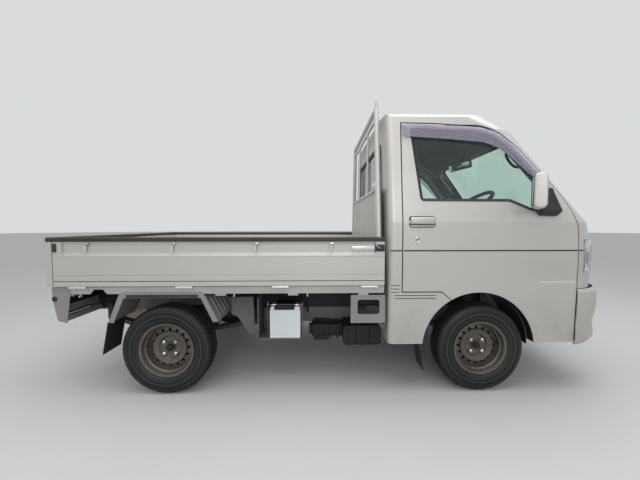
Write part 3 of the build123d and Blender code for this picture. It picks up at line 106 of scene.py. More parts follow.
def socket_tree(name, inputs, outputs):
    """Node group with named inputs and outputs; returns it with its end nodes, or None where it exists."""
    group = bpy.data.node_groups.get(name)
    if group:
        return group, None, None
    group = bpy.data.node_groups.new(name, "ShaderNodeTree")
    for label, kind, value in inputs:
        socket = group.interface.new_socket(label, in_out="INPUT", socket_type=kind)
        if value is not None:
            socket.default_value = value
    for label, kind in outputs:
        group.interface.new_socket(label, in_out="OUTPUT", socket_type=kind)
    return group, group.nodes.new("NodeGroupInput"), group.nodes.new("NodeGroupOutput")


def math_node(tree, operation, first, second=None, clamp=False):
    node = tree.nodes.new("ShaderNodeMath")
    node.operation = operation
    node.use_clamp = clamp
    for index, value in enumerate((first, second)):
        if value is None:
            continue
        if isinstance(value, (int, float)):
            node.inputs[index].default_value = value
        else:
            tree.links.new(value, node.inputs[index])
    return node.outputs[0]


def noise_node(tree, vector, scale, detail=4.0, roughness=0.5):
    node = tree.nodes.new("ShaderNodeTexNoise")
    node.inputs["Detail"].default_value = detail
    node.inputs["Roughness"].default_value = roughness
    if isinstance(scale, (int, float)):
        node.inputs["Scale"].default_value = scale
    else:
        tree.links.new(scale, node.inputs["Scale"])
    tree.links.new(vector, node.inputs["Vector"])
    return node.outputs["Fac"]


def map_range(tree, value, low, high, to_low=0.0, to_high=1.0):
    node = tree.nodes.new("ShaderNodeMapRange")
    for label, entry in (("Value", value), ("From Min", low), ("From Max", high),
                         ("To Min", to_low), ("To Max", to_high)):
        if isinstance(entry, (int, float)):
            node.inputs[label].default_value = entry
        else:
            tree.links.new(entry, node.inputs[label])
    return node.outputs["Result"]


def dust_group():
    """Mask of road dust: strong below Low, gone above High, broken up by two scales of noise. On the silver
    paint, whose dust is darkened, it is painted shade as well, darker towards the bottom.
    """
    group, start, end = socket_tree("Road dust", (("Vector", "NodeSocketVector", None),
                                                  ("Low", "NodeSocketFloat", 0.2),
                                                  ("High", "NodeSocketFloat", 0.6),
                                                  ("Amount", "NodeSocketFloat", 0.5)),
                                    (("Mask", "NodeSocketFloat"),))
    if start is None:
        return group
    split = group.nodes.new("ShaderNodeSeparateXYZ")
    group.links.new(start.outputs["Vector"], split.inputs[0])
    height = map_range(group, split.outputs["Z"], start.outputs["High"], start.outputs["Low"])
    coarse = noise_node(group, start.outputs["Vector"], 7.0, 6.0, 0.6)
    fine = noise_node(group, start.outputs["Vector"], 90.0, 4.0, 0.6)
    speckle = math_node(group, "MULTIPLY", coarse, math_node(group, "ADD", fine, 0.4))
    patchy = map_range(group, speckle, 0.25, 0.65)
    mask = math_node(group, "MULTIPLY", math_node(group, "MULTIPLY", height, patchy), start.outputs["Amount"],
                     clamp=True)
    group.links.new(mask, end.inputs["Mask"])
    return group


def grain_group():
    """Height of a moulded grain or of orange peel, and a slow colour variation."""
    group, start, end = socket_tree("Grain", (("Vector", "NodeSocketVector", None),
                                              ("Scale", "NodeSocketFloat", 400.0)),
                                    (("Height", "NodeSocketFloat"), ("Variation", "NodeSocketFloat")))
    if start is None:
        return group
    fine = noise_node(group, start.outputs["Vector"], start.outputs["Scale"], 3.0)
    slow = noise_node(group, start.outputs["Vector"], 3.0, 5.0, 0.55)
    group.links.new(fine, end.inputs["Height"])
    group.links.new(slow, end.inputs["Variation"])
    return group


def weave_group():
    """Height and tint of woven cloth."""
    group, start, end = socket_tree("Weave", (("Vector", "NodeSocketVector", None),
                                              ("Threads", "NodeSocketFloat", 900.0)),
                                    (("Height", "NodeSocketFloat"), ("Tint", "NodeSocketFloat")))
    if start is None:
        return group
    split = group.nodes.new("ShaderNodeSeparateXYZ")
    group.links.new(start.outputs["Vector"], split.inputs[0])
    waves = []
    for axis in ("X", "Y", "Z"):
        turned = math_node(group, "MULTIPLY", split.outputs[axis], start.outputs["Threads"])
        waves.append(math_node(group, "SINE", turned))
    crossed = math_node(group, "MULTIPLY", waves[0], waves[1])
    height = math_node(group, "ADD", crossed, waves[2])
    group.links.new(height, end.inputs["Height"])
    slubs = noise_node(group, start.outputs["Vector"], 160.0, 3.0)
    group.links.new(slubs, end.inputs["Tint"])
    return group


def mix_node(tree, factor, first, second):
    """Mix of two colours, each a plain one or a node's output."""
    node = tree.nodes.new("ShaderNodeMix")
    node.data_type = "RGBA"
    for label, colour in (("A", first), ("B", second)):
        if isinstance(colour, bpy.types.NodeSocket):
            tree.links.new(colour, node.inputs[label])
        else:
            node.inputs[label].default_value = (*colour, 1.0)
    tree.links.new(factor, node.inputs["Factor"])
    return node.outputs["Result"]


def group_node(tree, group, place, **values):
    """Node of a group that reads a place, with values for its other inputs."""
    node = tree.nodes.new("ShaderNodeGroup")
    node.node_tree = group
    tree.links.new(place, node.inputs["Vector"])
    for label, value in values.items():
        node.inputs[label].default_value = value
    return node


def new_material(name):
    """Material with its node tree, its Principled shader and the piece's own coordinates."""
    material = bpy.data.materials.new(name)
    material.use_nodes = True
    tree = material.node_tree
    place = tree.nodes.new("ShaderNodeTexCoord").outputs["Object"]
    return material, tree, tree.nodes["Principled BSDF"], place


def make_finish(name, colour, roughness, share=1.0, metallic=0.0, coat=0.0, grain=300.0, bump=0.05,
                dust=None, dust_share=1.0, spread=0.12, wear=None, sheen=0.0, weave=None, **sockets):
    """Principled material with grain, slow variation and optional dust, wear or weave. Where the dust colour
    is darkened, as on the silver paint, the dust mask is painted shade as well.
    """
    material, tree, shader, place = new_material(name)
    colour = [part * share for part in colour]
    texture = group_node(tree, grain_group(), place, Scale=grain)
    shade = mix_node(tree, map_range(tree, texture.outputs["Variation"], 0.35, 0.65),
                     colour, [part * (1.0 - spread) for part in colour])
    rough = map_range(tree, texture.outputs["Variation"], 0.3, 0.7,
                      roughness * 0.9, min(roughness * 1.15, 1.0))
    height = texture.outputs["Height"]
    if weave:
        height = group_node(tree, weave_group(), place, Threads=weave).outputs["Height"]
    if wear:
        worn, scale, threshold = wear
        spots = noise_node(tree, place, scale, 8.0, 0.7)
        shade = mix_node(tree, map_range(tree, spots, threshold, threshold + 0.08), shade, worn)
    if dust:
        low, high, amount = dust
        mask = group_node(tree, dust_group(), place, Low=low, High=high, Amount=amount).outputs["Mask"]
        road = bpy.context.scene.truck_colours.dust
        # A darkened dust colour, as on the silver paint, makes this painted shade as well as dust, darker
        # towards the bottom
        shade = mix_node(tree, mask, shade, [part * dust_share for part in road])
        rough = math_node(tree, "MAXIMUM", rough, math_node(tree, "MULTIPLY", mask, 0.85))
    tree.links.new(shade, shader.inputs["Base Color"])
    tree.links.new(rough, shader.inputs["Roughness"])
    shader.inputs["Metallic"].default_value = metallic
    shader.inputs["Coat Weight"].default_value = coat
    shader.inputs["Coat Roughness"].default_value = 0.06
    shader.inputs["Sheen Weight"].default_value = sheen
    for label, value in sockets.items():
        shader.inputs[label.replace("_", " ")].default_value = value
    if bump:
        relief = tree.nodes.new("ShaderNodeBump")
        relief.inputs["Strength"].default_value = bump
        relief.inputs["Distance"].default_value = 0.001
        tree.links.new(height, relief.inputs["Height"])
        tree.links.new(relief.outputs["Normal"], shader.inputs["Normal"])
    return material


def make_clear(name, colour, roughness, transmission=1.0, ior=1.45):
    """Glass or clear plastic with faint smears."""
    material, tree, shader, place = new_material(name)
    smears = noise_node(tree, place, 6.0, 6.0, 0.65)
    tree.links.new(map_range(tree, smears, 0.4, 0.75, roughness, roughness + 0.03),
                   shader.inputs["Roughness"])
    shade = mix_node(tree, smears, colour, [part * 0.94 for part in colour])
    tree.links.new(shade, shader.inputs["Base Color"])
    shader.inputs["Transmission Weight"].default_value = transmission
    shader.inputs["IOR"].default_value = ior
    return material


# Finishes: material's name, colour or the setting that holds it, roughness, and what else differs. Dust is
# its low and high height and its amount; wear is the colour, scale and threshold of worn spots.
FINISHES = {
    # Silver paint: its dust is darkened to 0.42 of the road dust colour, so the lower body and sills get road
    # film and painted shade together
    "paint": ("Silver paint", "paint", 0.44, dict(
        metallic=0.4, coat=0.18, grain=1400.0, bump=0.04, dust=(0.2, 0.62, 0.46), dust_share=0.42,
        spread=0.05, Coat_Roughness=0.3)),
    "bed paint": ("Bed paint", "paint", 0.42, dict(
        share=0.93, metallic=0.45, coat=0.3, grain=500.0, bump=0.08, wear=((0.3, 0.28, 0.26), 26.0, 0.66),
        dust=(0.6, 0.9, 0.25), spread=0.1)),
    "rim": ("Bronze-grey rim paint", "rims", 0.42, dict(
        metallic=0.6, coat=0.15, bump=0.12, wear=((0.13, 0.065, 0.03), 30.0, 0.64), dust=(0.0, 0.7, 0.35),
        spread=0.25)),
    "nut": ("Plated nuts", (0.62, 0.61, 0.58), 0.22, dict(
        metallic=1.0, grain=600.0, wear=((0.22, 0.13, 0.07), 90.0, 0.66))),
    "tyre": ("Tyre rubber", (0.0085, 0.008, 0.0078), 0.6, dict(
        grain=700.0, bump=0.18, dust=(-0.1, 0.75, 0.05), spread=0.3, Specular_IOR_Level=0.32)),
    # Rings lighter than the tyre: a painted highlight on the raised side-wall rings
    "ring": ("Worn tyre rings", (0.03, 0.029, 0.028), 0.45, dict(grain=500.0, bump=0.12, spread=0.3)),
    "rubber": ("Black rubber", (0.018, 0.018, 0.018), 0.55, dict(grain=500.0, bump=0.12, spread=0.3)),
    "flap": ("Flap rubber", (0.012, 0.011, 0.01), 0.7, dict(
        grain=260.0, bump=0.2, dust=(0.0, 0.6, 0.1), spread=0.3)),
    "chassis": ("Chassis paint", "chassis", 0.6, dict(
        metallic=0.1, grain=200.0, bump=0.3, wear=((0.09, 0.045, 0.022), 16.0, 0.62), dust=(0.1, 0.7, 0.45),
        spread=0.35)),
    "frame": ("Frame paint", (0.155, 0.15, 0.142), 0.55, dict(
        metallic=0.15, grain=200.0, bump=0.3, wear=((0.1, 0.06, 0.035), 18.0, 0.66), dust=(0.1, 0.7, 0.2),
        spread=0.2)),
    "case": ("Black case", (0.01, 0.01, 0.01), 0.5, dict(bump=0.15, spread=0.3, Specular_IOR_Level=0.35)),
    "casting": ("Cast alloy", (0.2, 0.2, 0.195), 0.55, dict(
        metallic=0.7, grain=160.0, bump=0.45, wear=((0.1, 0.07, 0.045), 14.0, 0.6), dust=(0.1, 0.8, 0.4))),
    "exhaust": ("Exhaust steel", (0.24, 0.21, 0.18), 0.48, dict(
        metallic=0.85, grain=240.0, bump=0.2, wear=((0.17, 0.075, 0.03), 12.0, 0.56), spread=0.25)),
    "primer": ("Grey bracket paint", (0.27, 0.265, 0.255), 0.5, dict(
        metallic=0.3, coat=0.1, grain=260.0, bump=0.15, wear=((0.14, 0.09, 0.05), 34.0, 0.68),
        dust=(0.1, 0.7, 0.4))),
    "cap": ("Edge trim", (0.03, 0.026, 0.023), 0.5, dict(
        grain=420.0, bump=0.2, wear=((0.12, 0.11, 0.1), 40.0, 0.7), spread=0.3)),
    "plastic": ("Black plastic", (0.025, 0.025, 0.026), 0.5, dict(grain=800.0, bump=0.22, spread=0.2)),
    "grey plastic": ("Grey dash plastic", (0.085, 0.087, 0.092), 0.58, dict(
        grain=900.0, bump=0.3, spread=0.1)),
    "pale plastic": ("Pale trim plastic", (0.32, 0.315, 0.3), 0.6, dict(grain=900.0, bump=0.25, spread=0.08)),
    # Headliner colour darkened as painted shade for the little light inside the roof; the sun visors take the
    # same colour
    "headliner": ("Headliner", (0.145, 0.148, 0.142), 0.9, dict(
        grain=500.0, bump=0.3, sheen=0.05, spread=0.08)),
    "cloth": ("Seat cloth", "seats", 0.88, dict(weave=1500.0, bump=0.35, sheen=0.25, spread=0.2)),
    "vinyl": ("Seat vinyl", (0.045, 0.045, 0.048), 0.5, dict(grain=420.0, bump=0.35, spread=0.15)),
    "belt": ("Belt webbing", (0.035, 0.035, 0.035), 0.8, dict(weave=2600.0, bump=0.4, sheen=0.2)),
    "bright steel": ("Zinc-plated steel", (0.7, 0.69, 0.67), 0.34, dict(
        metallic=0.55, coat=0.1, grain=400.0, bump=0.06, spread=0.1)),
    "chrome": ("Bright metal", (0.74, 0.73, 0.71), 0.14, dict(metallic=1.0, grain=500.0, bump=0.02)),
    "mirror": ("Mirror face", (0.86, 0.87, 0.88), 0.02, dict(
        metallic=1.0, grain=50.0, bump=0.0, spread=0.02)),
    "reflector": ("Lamp bowl", (0.8, 0.8, 0.79), 0.1, dict(metallic=1.0, grain=60.0, bump=0.02, spread=0.04)),
    "amber": ("Amber lens", (0.75, 0.22, 0.02), 0.16, dict(coat=0.6, spread=0.1)),
    "red": ("Red lens", (0.42, 0.012, 0.01), 0.14, dict(coat=0.7, spread=0.1)),
    "white lens": ("Reversing lens", (0.72, 0.72, 0.7), 0.14, dict(coat=0.7)),
    "battery": ("Battery case", (0.74, 0.79, 0.8), 0.36, dict(
        coat=0.15, grain=120.0, bump=0.1, spread=0.08, dust=(0.2, 0.6, 0.1))),
    "plate": ("Blank plate", (0.68, 0.6, 0.16), 0.4, dict(coat=0.2, spread=0.06)),
    "glass": ("Green glass", "glass", 0.0, dict(transmission=1.0)),
    "clear": ("Lamp lens", (0.97, 0.975, 0.98), 0.01, dict(transmission=1.0)),
    "visor": ("Smoke visor", "visor", 0.05, dict(transmission=0.8, ior=1.2)),
}


def material_for(finish):
    """Material of a finish, made on first use."""
    name, colour, roughness, extras = FINISHES[finish]
    if name in bpy.data.materials:
        return bpy.data.materials[name]
    if isinstance(colour, str):
        colour = tuple(getattr(bpy.context.scene.truck_colours, colour))
    make = make_clear if "transmission" in extras else make_finish
    return make(name, colour, roughness, **extras)


# Mesh helpers

def add_box(form, low, high, bevel=0.0, steps=2):
    """Box between two corners with rounded edges."""
    centre = [(a + b) / 2 for a, b in zip(low, high)]
    size = [max(abs(b - a), 1e-4) for a, b in zip(low, high)]
    made = bmesh.ops.create_cube(form, size=1.0, matrix=Matrix.Translation(centre)
                                 @ Matrix.Diagonal((*size, 1.0)))
    if bevel:
        edges = list({edge for vert in made["verts"] for edge in vert.link_edges})
        bmesh.ops.bevel(form, geom=edges, offset=min(bevel, min(size) * 0.45), segments=steps,
                        affect="EDGES", profile=0.5, material=-1)
    return made


def add_side_box(form, side, along, across, up, bevel=0.0, steps=2):
    """Box on one side of the truck, between spans of X, of distance from the middle plane and of Z."""
    near, far = sorted((side * across[0], side * across[1]))
    add_box(form, (along[0], near, up[0]), (along[1], far, up[1]), bevel, steps)


def add_rod(form, start, end, radius, sides=20, tip=None):
    """Round bar between two points, tapered where tip is given."""
    start, end = Vector(start), Vector(end)
    run = end - start
    place = Matrix.Translation((start + end) / 2) @ run.to_track_quat("Z", "Y").to_matrix().to_4x4()
    bmesh.ops.create_cone(form, cap_ends=True, segments=sides, radius1=radius,
                          radius2=radius if tip is None else tip, depth=run.length, matrix=place)


def add_bar(form, x, half, y, z, radius):
    """Round bar along X, half its length to each side of x."""
    add_rod(form, (x - half, y, z), (x + half, y, z), radius, sides=28)


def add_ball(form, centre, radius, squash=(1, 1, 1)):
    bmesh.ops.create_uvsphere(form, u_segments=18, v_segments=10, radius=radius,
                              matrix=Matrix.Translation(centre) @ Matrix.Diagonal((*squash, 1.0)))


def add_turned(form, profile, centre, side=1, steps=48, turn=math.tau):
    """Turns a profile of radius and offset along Y about an axis that runs along Y."""
    loop = [form.verts.new((centre[0] + radius, centre[1] + side * offset, centre[2]))
            for radius, offset in profile]
    edges = [form.edges.new(pair) for pair in zip(loop, loop[1:])]
    bmesh.ops.spin(form, geom=loop + edges, cent=centre, axis=(0, 1, 0), angle=turn, steps=steps,
                   use_merge=turn == math.tau)


def add_tube(form, points, radius, smooth=True):
    """Bent tube along points."""
    path = bpy.data.curves.new("bent tube", "CURVE")
    path.dimensions = "3D"
    spline = path.splines.new("NURBS" if smooth else "POLY")
    spline.points.add(len(points) - 1)
    for knot, point in zip(spline.points, points):
        knot.co = (*point, 1.0)
    if smooth:
        spline.order_u = 3
        spline.use_endpoint_u = True
        spline.resolution_u = 6
    path.bevel_depth = radius
    path.bevel_resolution = 3
    path.use_fill_caps = True
    holder = bpy.data.objects.new("bent tube", path)
    mesh = bpy.data.meshes.new_from_object(holder)
    form.from_mesh(mesh)
    bpy.data.objects.remove(holder)
    bpy.data.curves.remove(path)
    bpy.data.meshes.remove(mesh)


def rounded(points, radius, arc_steps=5, gap=0.03):
    """Closed outline with its corners rounded, sampled about every gap."""
    outline = []
    count = len(points)
    for index in range(count):
        before, corner, after = (Vector(points[index - 1]), Vector(points[index]),
                                 Vector(points[(index + 1) % count]))
        inward, outward = (before - corner).normalized(), (after - corner).normalized()
        angle = inward.angle(outward)
        reach = min(radius / math.tan(angle / 2), (before - corner).length * 0.45,
                    (after - corner).length * 0.45)
        start, end = corner + inward * reach, corner + outward * reach
        for step in range(arc_steps + 1):
            t = step / arc_steps
            outline.append(start * (1 - t) ** 2 + corner * (2 * t * (1 - t)) + end * t ** 2)
    dense = []
    for index, point in enumerate(outline):
        following = outline[(index + 1) % len(outline)]
        pieces = max(1, int((following - point).length / gap))
        dense += [point.lerp(following, step / pieces) for step in range(pieces)]
    return dense


def moved_in(outline, distance):
    """The outline moved inwards by a distance, point for point; a negative one moves it outwards."""
    count = len(outline)
    area = sum(outline[i].x * outline[(i + 1) % count].y - outline[(i + 1) % count].x * outline[i].y
               for i in range(count))
    turn = 1.0 if area > 0 else -1.0
    result = []
    for index, point in enumerate(outline):
        along = (outline[(index + 1) % count] - outline[index - 1]).normalized()
        result.append(point + Vector((-along.y, along.x)) * turn * distance)
    return result


def surface_tree(*nodes):
    """Surface of several measured solids, for laying trim on it."""
    verts, faces = [], []
    for name in nodes:
        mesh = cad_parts[name].data
        start = len(verts)
        verts += [vert.co.copy() for vert in mesh.vertices]
        faces += [[start + index for index in face.vertices] for face in mesh.polygons]
    return BVHTree.FromPolygons(verts, faces)


def dropped(tree, origin, direction, lift, fallback):
    """Point where a ray meets the surface, lifted back along the ray."""
    hit = tree.ray_cast(Vector(origin), Vector(direction))[0]
    return (hit if hit is not None else Vector(fallback)) - Vector(direction) * lift


def side_point(tree, side, lift):
    """Function that lays a point of X and Z on one side of the cab."""
    def place(point):
        return dropped(tree, (point[0], side * 1.5, point[1]), (0, -side, 0), lift,
                       (point[0], side * 0.7, point[1]))
    return place


def inner_point(tree, side, lift):
    """Function that lays a point of X and Z on the inner face of one side of the cab."""
    def place(point):
        return dropped(tree, (point[0], side * 0.3, point[1]), (0, side, 0), lift,
                       (point[0], side * 0.66, point[1]))
    return place


def end_point(tree, end, lift):
    """Function that lays a point of Y and Z on the front (1) or the back (-1) of the cab."""
    def place(point):
        return dropped(tree, (end * 2.5, point[0], point[1]), (-end, 0, 0), lift,
                       (end * 1.2, point[0], point[1]))
    return place


def thicken(form, faces, thick):
    """Turns the faces of a sheet outwards and gives it a thickness."""
    bmesh.ops.recalc_face_normals(form, faces=faces)
    bmesh.ops.solidify(form, geom=faces, thickness=thick)


def add_band(form, outer, inner, place, thick):
    """Band between two outlines with as many points each, laid on a surface and given a thickness."""
    rings = []
    for outline in (outer, inner):
        ring = [form.verts.new(place(point)) for point in outline]
        rings.append([form.edges.new((ring[i - 1], ring[i])) for i in range(len(ring))])
    thicken(form, bmesh.ops.bridge_loops(form, edges=rings[0] + rings[1])["faces"], thick)


def add_strip(form, upper, lower, place, thick):
    """Open strip between two rows of points, laid on a surface and given a thickness."""
    rows = [[form.verts.new(place(point)) for point in row] for row in (upper, lower)]
    edges = [form.edges.new(pair) for row in rows for pair in zip(row, row[1:])]
    thicken(form, bmesh.ops.bridge_loops(form, edges=edges)["faces"], thick)


# Dark strips of painted shade in the pressed lines and louvres: how far they lie on the skin, and their
# thickness
LINE_LIFT, LINE_THICK = 0.0011, 0.0009


def add_line(form, span, steps, heights, tree, side):
    """Thin line along a span of X, between two heights, laid on one side of the cab."""
    first, last = span
    row = [first + (last - first) * step / steps for step in range(steps + 1)]
    upper, lower = [[(x, height) for x in row] for height in heights]
    add_strip(form, upper, lower, side_point(tree, side, LINE_LIFT), LINE_THICK)


def within(value, span):
    return span[0] < value < span[1]


def copied_form(node):
    """Merged copy of a measured solid's mesh."""
    form = bmesh.new()
    form.from_mesh(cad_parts[node].data)
    bmesh.ops.remove_doubles(form, verts=form.verts, dist=1e-5)
    bmesh.ops.recalc_face_normals(form, faces=form.faces)
    return form


def resampled(points, count):
    """Polyline divided into a number of equal steps."""
    points = [Vector(point) for point in points]
    lengths = [0.0]
    for first, second in zip(points, points[1:]):
        lengths.append(lengths[-1] + (second - first).length)
    result = []
    for step in range(count):
        distance = lengths[-1] * step / (count - 1)
        index = max(i for i in range(len(points) - 1) if lengths[i] <= distance + 1e-9)
        span = lengths[index + 1] - lengths[index]
        result.append(points[index].lerp(points[index + 1], (distance - lengths[index]) / span))
    return result


# Slot of the material for each finish, where a piece names no other; finish_piece looks it up but gives the
# piece no slot
SLOTS = {"body_paint": ("paint", "bed paint", "plate"), "tyre": ("tyre", "ring"), "rubber": ("rubber",),
         "dark_plastic": ("plastic", "grey plastic", "pale plastic", "case"),
         "chassis_steel": ("chassis", "frame", "exhaust", "nut", "chrome"),
         "grey_steel": ("bright steel", "primer"), "lamp_glass": ("clear", "reflector", "white lens"),
         "lamp_red": ("amber", "red"), "mirror_plastic": ("mirror",), "window_glass": ("visor",),
         "seat_cloth": ("headliner", "vinyl", "belt"), "battery_case": ("battery",)}
SLOT_OF = {finish: slot for slot, group in SLOTS.items() for finish in group}


def finish_piece(name, form, finish, body="root", slot=None, crease=35.0, bevel=0.0):
    """Turns a bmesh into a piece with its finish, riding on a body."""
    bmesh.ops.remove_doubles(form, verts=form.verts, dist=1e-5)
    bmesh.ops.recalc_face_normals(form, faces=form.faces)
    mesh = bpy.data.meshes.new(name)
    form.to_mesh(mesh)
    form.free()
    mesh.shade_smooth()
    mesh.set_sharp_from_angle(angle=math.radians(crease))
    piece = bpy.data.objects.new(name, mesh)
    bpy.context.scene.collection.objects.link(piece)
    mesh.materials.append(material_for(finish))
    if bevel:
        edge = piece.modifiers.new("Bevel", "BEVEL")
        edge.width = bevel
        edge.segments = 2
        edge.limit_method = "ANGLE"
    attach(piece, body)
    slot = slot or SLOT_OF[finish]
    return piece


def add_patch(form, outline, place, thick):
    """Filled outline laid on a surface and given a thickness."""
    face = form.faces.new([form.verts.new(place(point)) for point in outline])
    thicken(form, bmesh.ops.triangulate(form, faces=[face])["faces"], thick)


def add_hexagon(form, centre, side, radius, height, dome=0.3):
    """Six-sided nut or bolt head that faces outwards along Y."""
    start = Vector(centre)
    add_rod(form, start, start + Vector((0, side * height, 0)), radius, sides=6)
    add_rod(form, start + Vector((0, side * height, 0)), start + Vector((0, side * height * (1 + dome), 0)),
            radius * 0.86, sides=6, tip=radius * 0.45)


# Finish of each measured solid
NODE_FINISHES = {
    "paint": ("cab_shell", "cab_back", "cab_roof", "nose_panel", "door_left", "door_right", "front_bumper",
              "mirror_left", "mirror_right", "gate_left", "gate_right", "tailgate", "guard_frame"),
    "bed paint": ("bed_floor", "headboard", "cab_floor"),
    "glass": ("windscreen", "rear_window", "door_glass_left", "door_glass_right"),
    "cap": ("gate_cap_left", "gate_cap_right", "tailgate_cap"),
    "rim": ("rim_front_left", "rim_front_right", "rim_rear_left", "rim_rear_right"),
    "frame": ("ladder_frame", "battery_tray"),
    "chassis": ("bed_stands", "strut_towers", "rear_axle", "front_suspension", "knuckle_left",
                "knuckle_right"),
    "casting": ("engine",),
    "exhaust": ("exhaust",),
    "primer": ("rear_brackets", "rear_fenders", "side_brackets"),
    "flap": ("mud_flaps",),
    "grey plastic": ("dashboard",),
    "plastic": ("fuel_tank", "steering_wheel"),
    "case": ("air_cleaner",),
    "battery": ("battery",),
}


class TRUCK_OT_finishes(bpy.types.Operator):
    """Gives each measured solid its finish"""

    bl_idname = "truck.finishes"
    bl_label = "Finishes"
    bl_options = {"REGISTER", "UNDO"}

    def execute(self, context):
        for finish, nodes in NODE_FINISHES.items():
            for node in nodes:
                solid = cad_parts[node]
                if not solid.material_slots:
                    solid.data.materials.append(material_for(finish))
                for slot in solid.material_slots:
                    slot.material = material_for(finish)
        return {"FINISHED"}


# Half section of a tyre: radius and offset from its middle plane, tread to bead and back inside
TREAD_HALF = ((0.268, 0.0), (0.268, 0.0075), (0.262, 0.0085), (0.262, 0.0135), (0.268, 0.0145),
              (0.2679, 0.029), (0.262, 0.03), (0.262, 0.0345), (0.2675, 0.0355), (0.2665, 0.045),
              (0.2635, 0.053), (0.258, 0.0585), (0.252, 0.061))
SIDEWALL_HALF = ((0.25, 0.062), (0.246, 0.0636), (0.2455, 0.0645), (0.243, 0.0653), (0.2425, 0.0645),
                 (0.236, 0.0668), (0.2355, 0.0676), (0.233, 0.0682), (0.2325, 0.0674), (0.222, 0.0698),
                 (0.2145, 0.0705), (0.214, 0.0713), (0.207, 0.0713), (0.2065, 0.0705), (0.198, 0.0698),
                 (0.1905, 0.068), (0.1895, 0.0688), (0.186, 0.0678), (0.1855, 0.0668), (0.1785, 0.0632),
                 (0.1775, 0.064), (0.174, 0.0616), (0.1665, 0.0575), (0.1586, 0.0558), (0.1536, 0.05),
                 (0.1536, 0.0425))
LINER_HALF = ((0.16, 0.043), (0.185, 0.057), (0.212, 0.0615), (0.24, 0.054), (0.252, 0.045),
              (0.2545, 0.03), (0.2545, 0.0))
# Blocks that are sunk into the tread: least radius, and span of the distance from the middle plane; then
# where the slanted ones start, how much they slant, and their share of the groove's depth
SHOULDER_RADIUS, SHOULDER_SPAN = 0.2585, (0.036, 0.06)
RIB_RADIUS, RIB_SPAN = 0.266, (0.015, 0.0285)
RIB_START, RIB_SLANT = 1.5, 120
RIB_SHARE = 0.6
# Raised rings of a side wall: outer radius and offset, inner radius and offset; how deep and high they are
RINGS = ((0.2475, 0.0633, 0.2432, 0.065), (0.236, 0.0677, 0.233, 0.0684), (0.2145, 0.0714, 0.2065, 0.0714),
         (0.1908, 0.069, 0.186, 0.0682), (0.1785, 0.0642, 0.174, 0.062))
RING_SINK, RING_RISE = 0.0025, 0.0008


class TRUCK_OT_tyres(bpy.types.Operator):
    """Makes the treaded tyres with their ribbed side walls"""

    bl_idname = "truck.tyres"
    bl_label = "Tyres"
    bl_options = {"REGISTER", "UNDO"}

    def execute(self, context):
        sizes = context.scene.truck_sizes
        half = TREAD_HALF + SIDEWALL_HALF + LINER_HALF
        profile = list(half) + [(radius, -offset) for radius, offset in reversed(half[1:-1])] + [half[0]]
        steps = 3 * sizes.tread_blocks
        for label, x, side in WHEELS:
            form = bmesh.new()
            centre = (x, side * WHEEL_Y, AXLE_Z)
            add_turned(form, profile, centre, side, steps=steps)
            bmesh.ops.remove_doubles(form, verts=form.verts, dist=1e-6)
            bmesh.ops.recalc_face_normals(form, faces=form.faces)
            slots = {"shoulder": [], "rib": []}
            for face in form.faces:
                middle = face.calc_center_median() - Vector(centre)
                radius, offset = math.hypot(middle.x, middle.z), abs(middle.y)
                turn = (math.atan2(middle.z, middle.x) / math.tau * steps) % steps
                slanted = turn + RIB_START + RIB_SLANT * offset
                if radius > SHOULDER_RADIUS and within(offset, SHOULDER_SPAN) and int(turn) % 3 == 0:
                    slots["shoulder"].append(face)
                elif radius > RIB_RADIUS and within(offset, RIB_SPAN) and int(slanted) % 3 == 0:
                    slots["rib"].append(face)
            for name, depth in (("shoulder", sizes.groove), ("rib", sizes.groove * RIB_SHARE)):
                grown = bmesh.ops.extrude_face_region(form, geom=slots[name])["geom"]
                bmesh.ops.delete(form, geom=slots[name], context="FACES")
                for vert in (part for part in grown if isinstance(part, bmesh.types.BMVert)):
                    outward = vert.co - Vector(centre)
                    outward.y = 0.0
                    vert.co -= outward.normalized() * depth
            piece = finish_piece(f"tyre_tread_{label}", form, "tyre", f"wheel_{label}", crease=28)
            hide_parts(f"tyre_{label}")
            rings = bmesh.new()
            for outer, outer_offset, inner, inner_offset in RINGS:
                add_turned(rings, ((outer, outer_offset - RING_SINK), (outer, outer_offset + RING_RISE),
                                   (inner, inner_offset + RING_RISE), (inner, inner_offset - RING_SINK),
                                   (outer, outer_offset - RING_SINK)), centre, side, steps=96)
            finish_piece(f"tyre_rings_{label}", rings, "ring", f"wheel_{label}")
        return {"FINISHED"}


# Wheel nuts: circle they stand on, and how far they stand out; turned profiles of radius and offset; and the
# valve's foot from the wheel's middle
NUT_CIRCLE, NUT_OUT = 0.05, 0.003
HUB_CAP = ((0.0, 0.03), (0.012, 0.029), (0.019, 0.0255), (0.022, 0.019), (0.0225, 0.0122), (0.0, 0.0122))
BRAKE_DRUM = ((0.059, -0.01), (0.059, -0.007), (0.122, -0.007), (0.122, -0.01), (0.059, -0.01))
VALVE_PLACE = (0.1265, 0.008, 0.02)


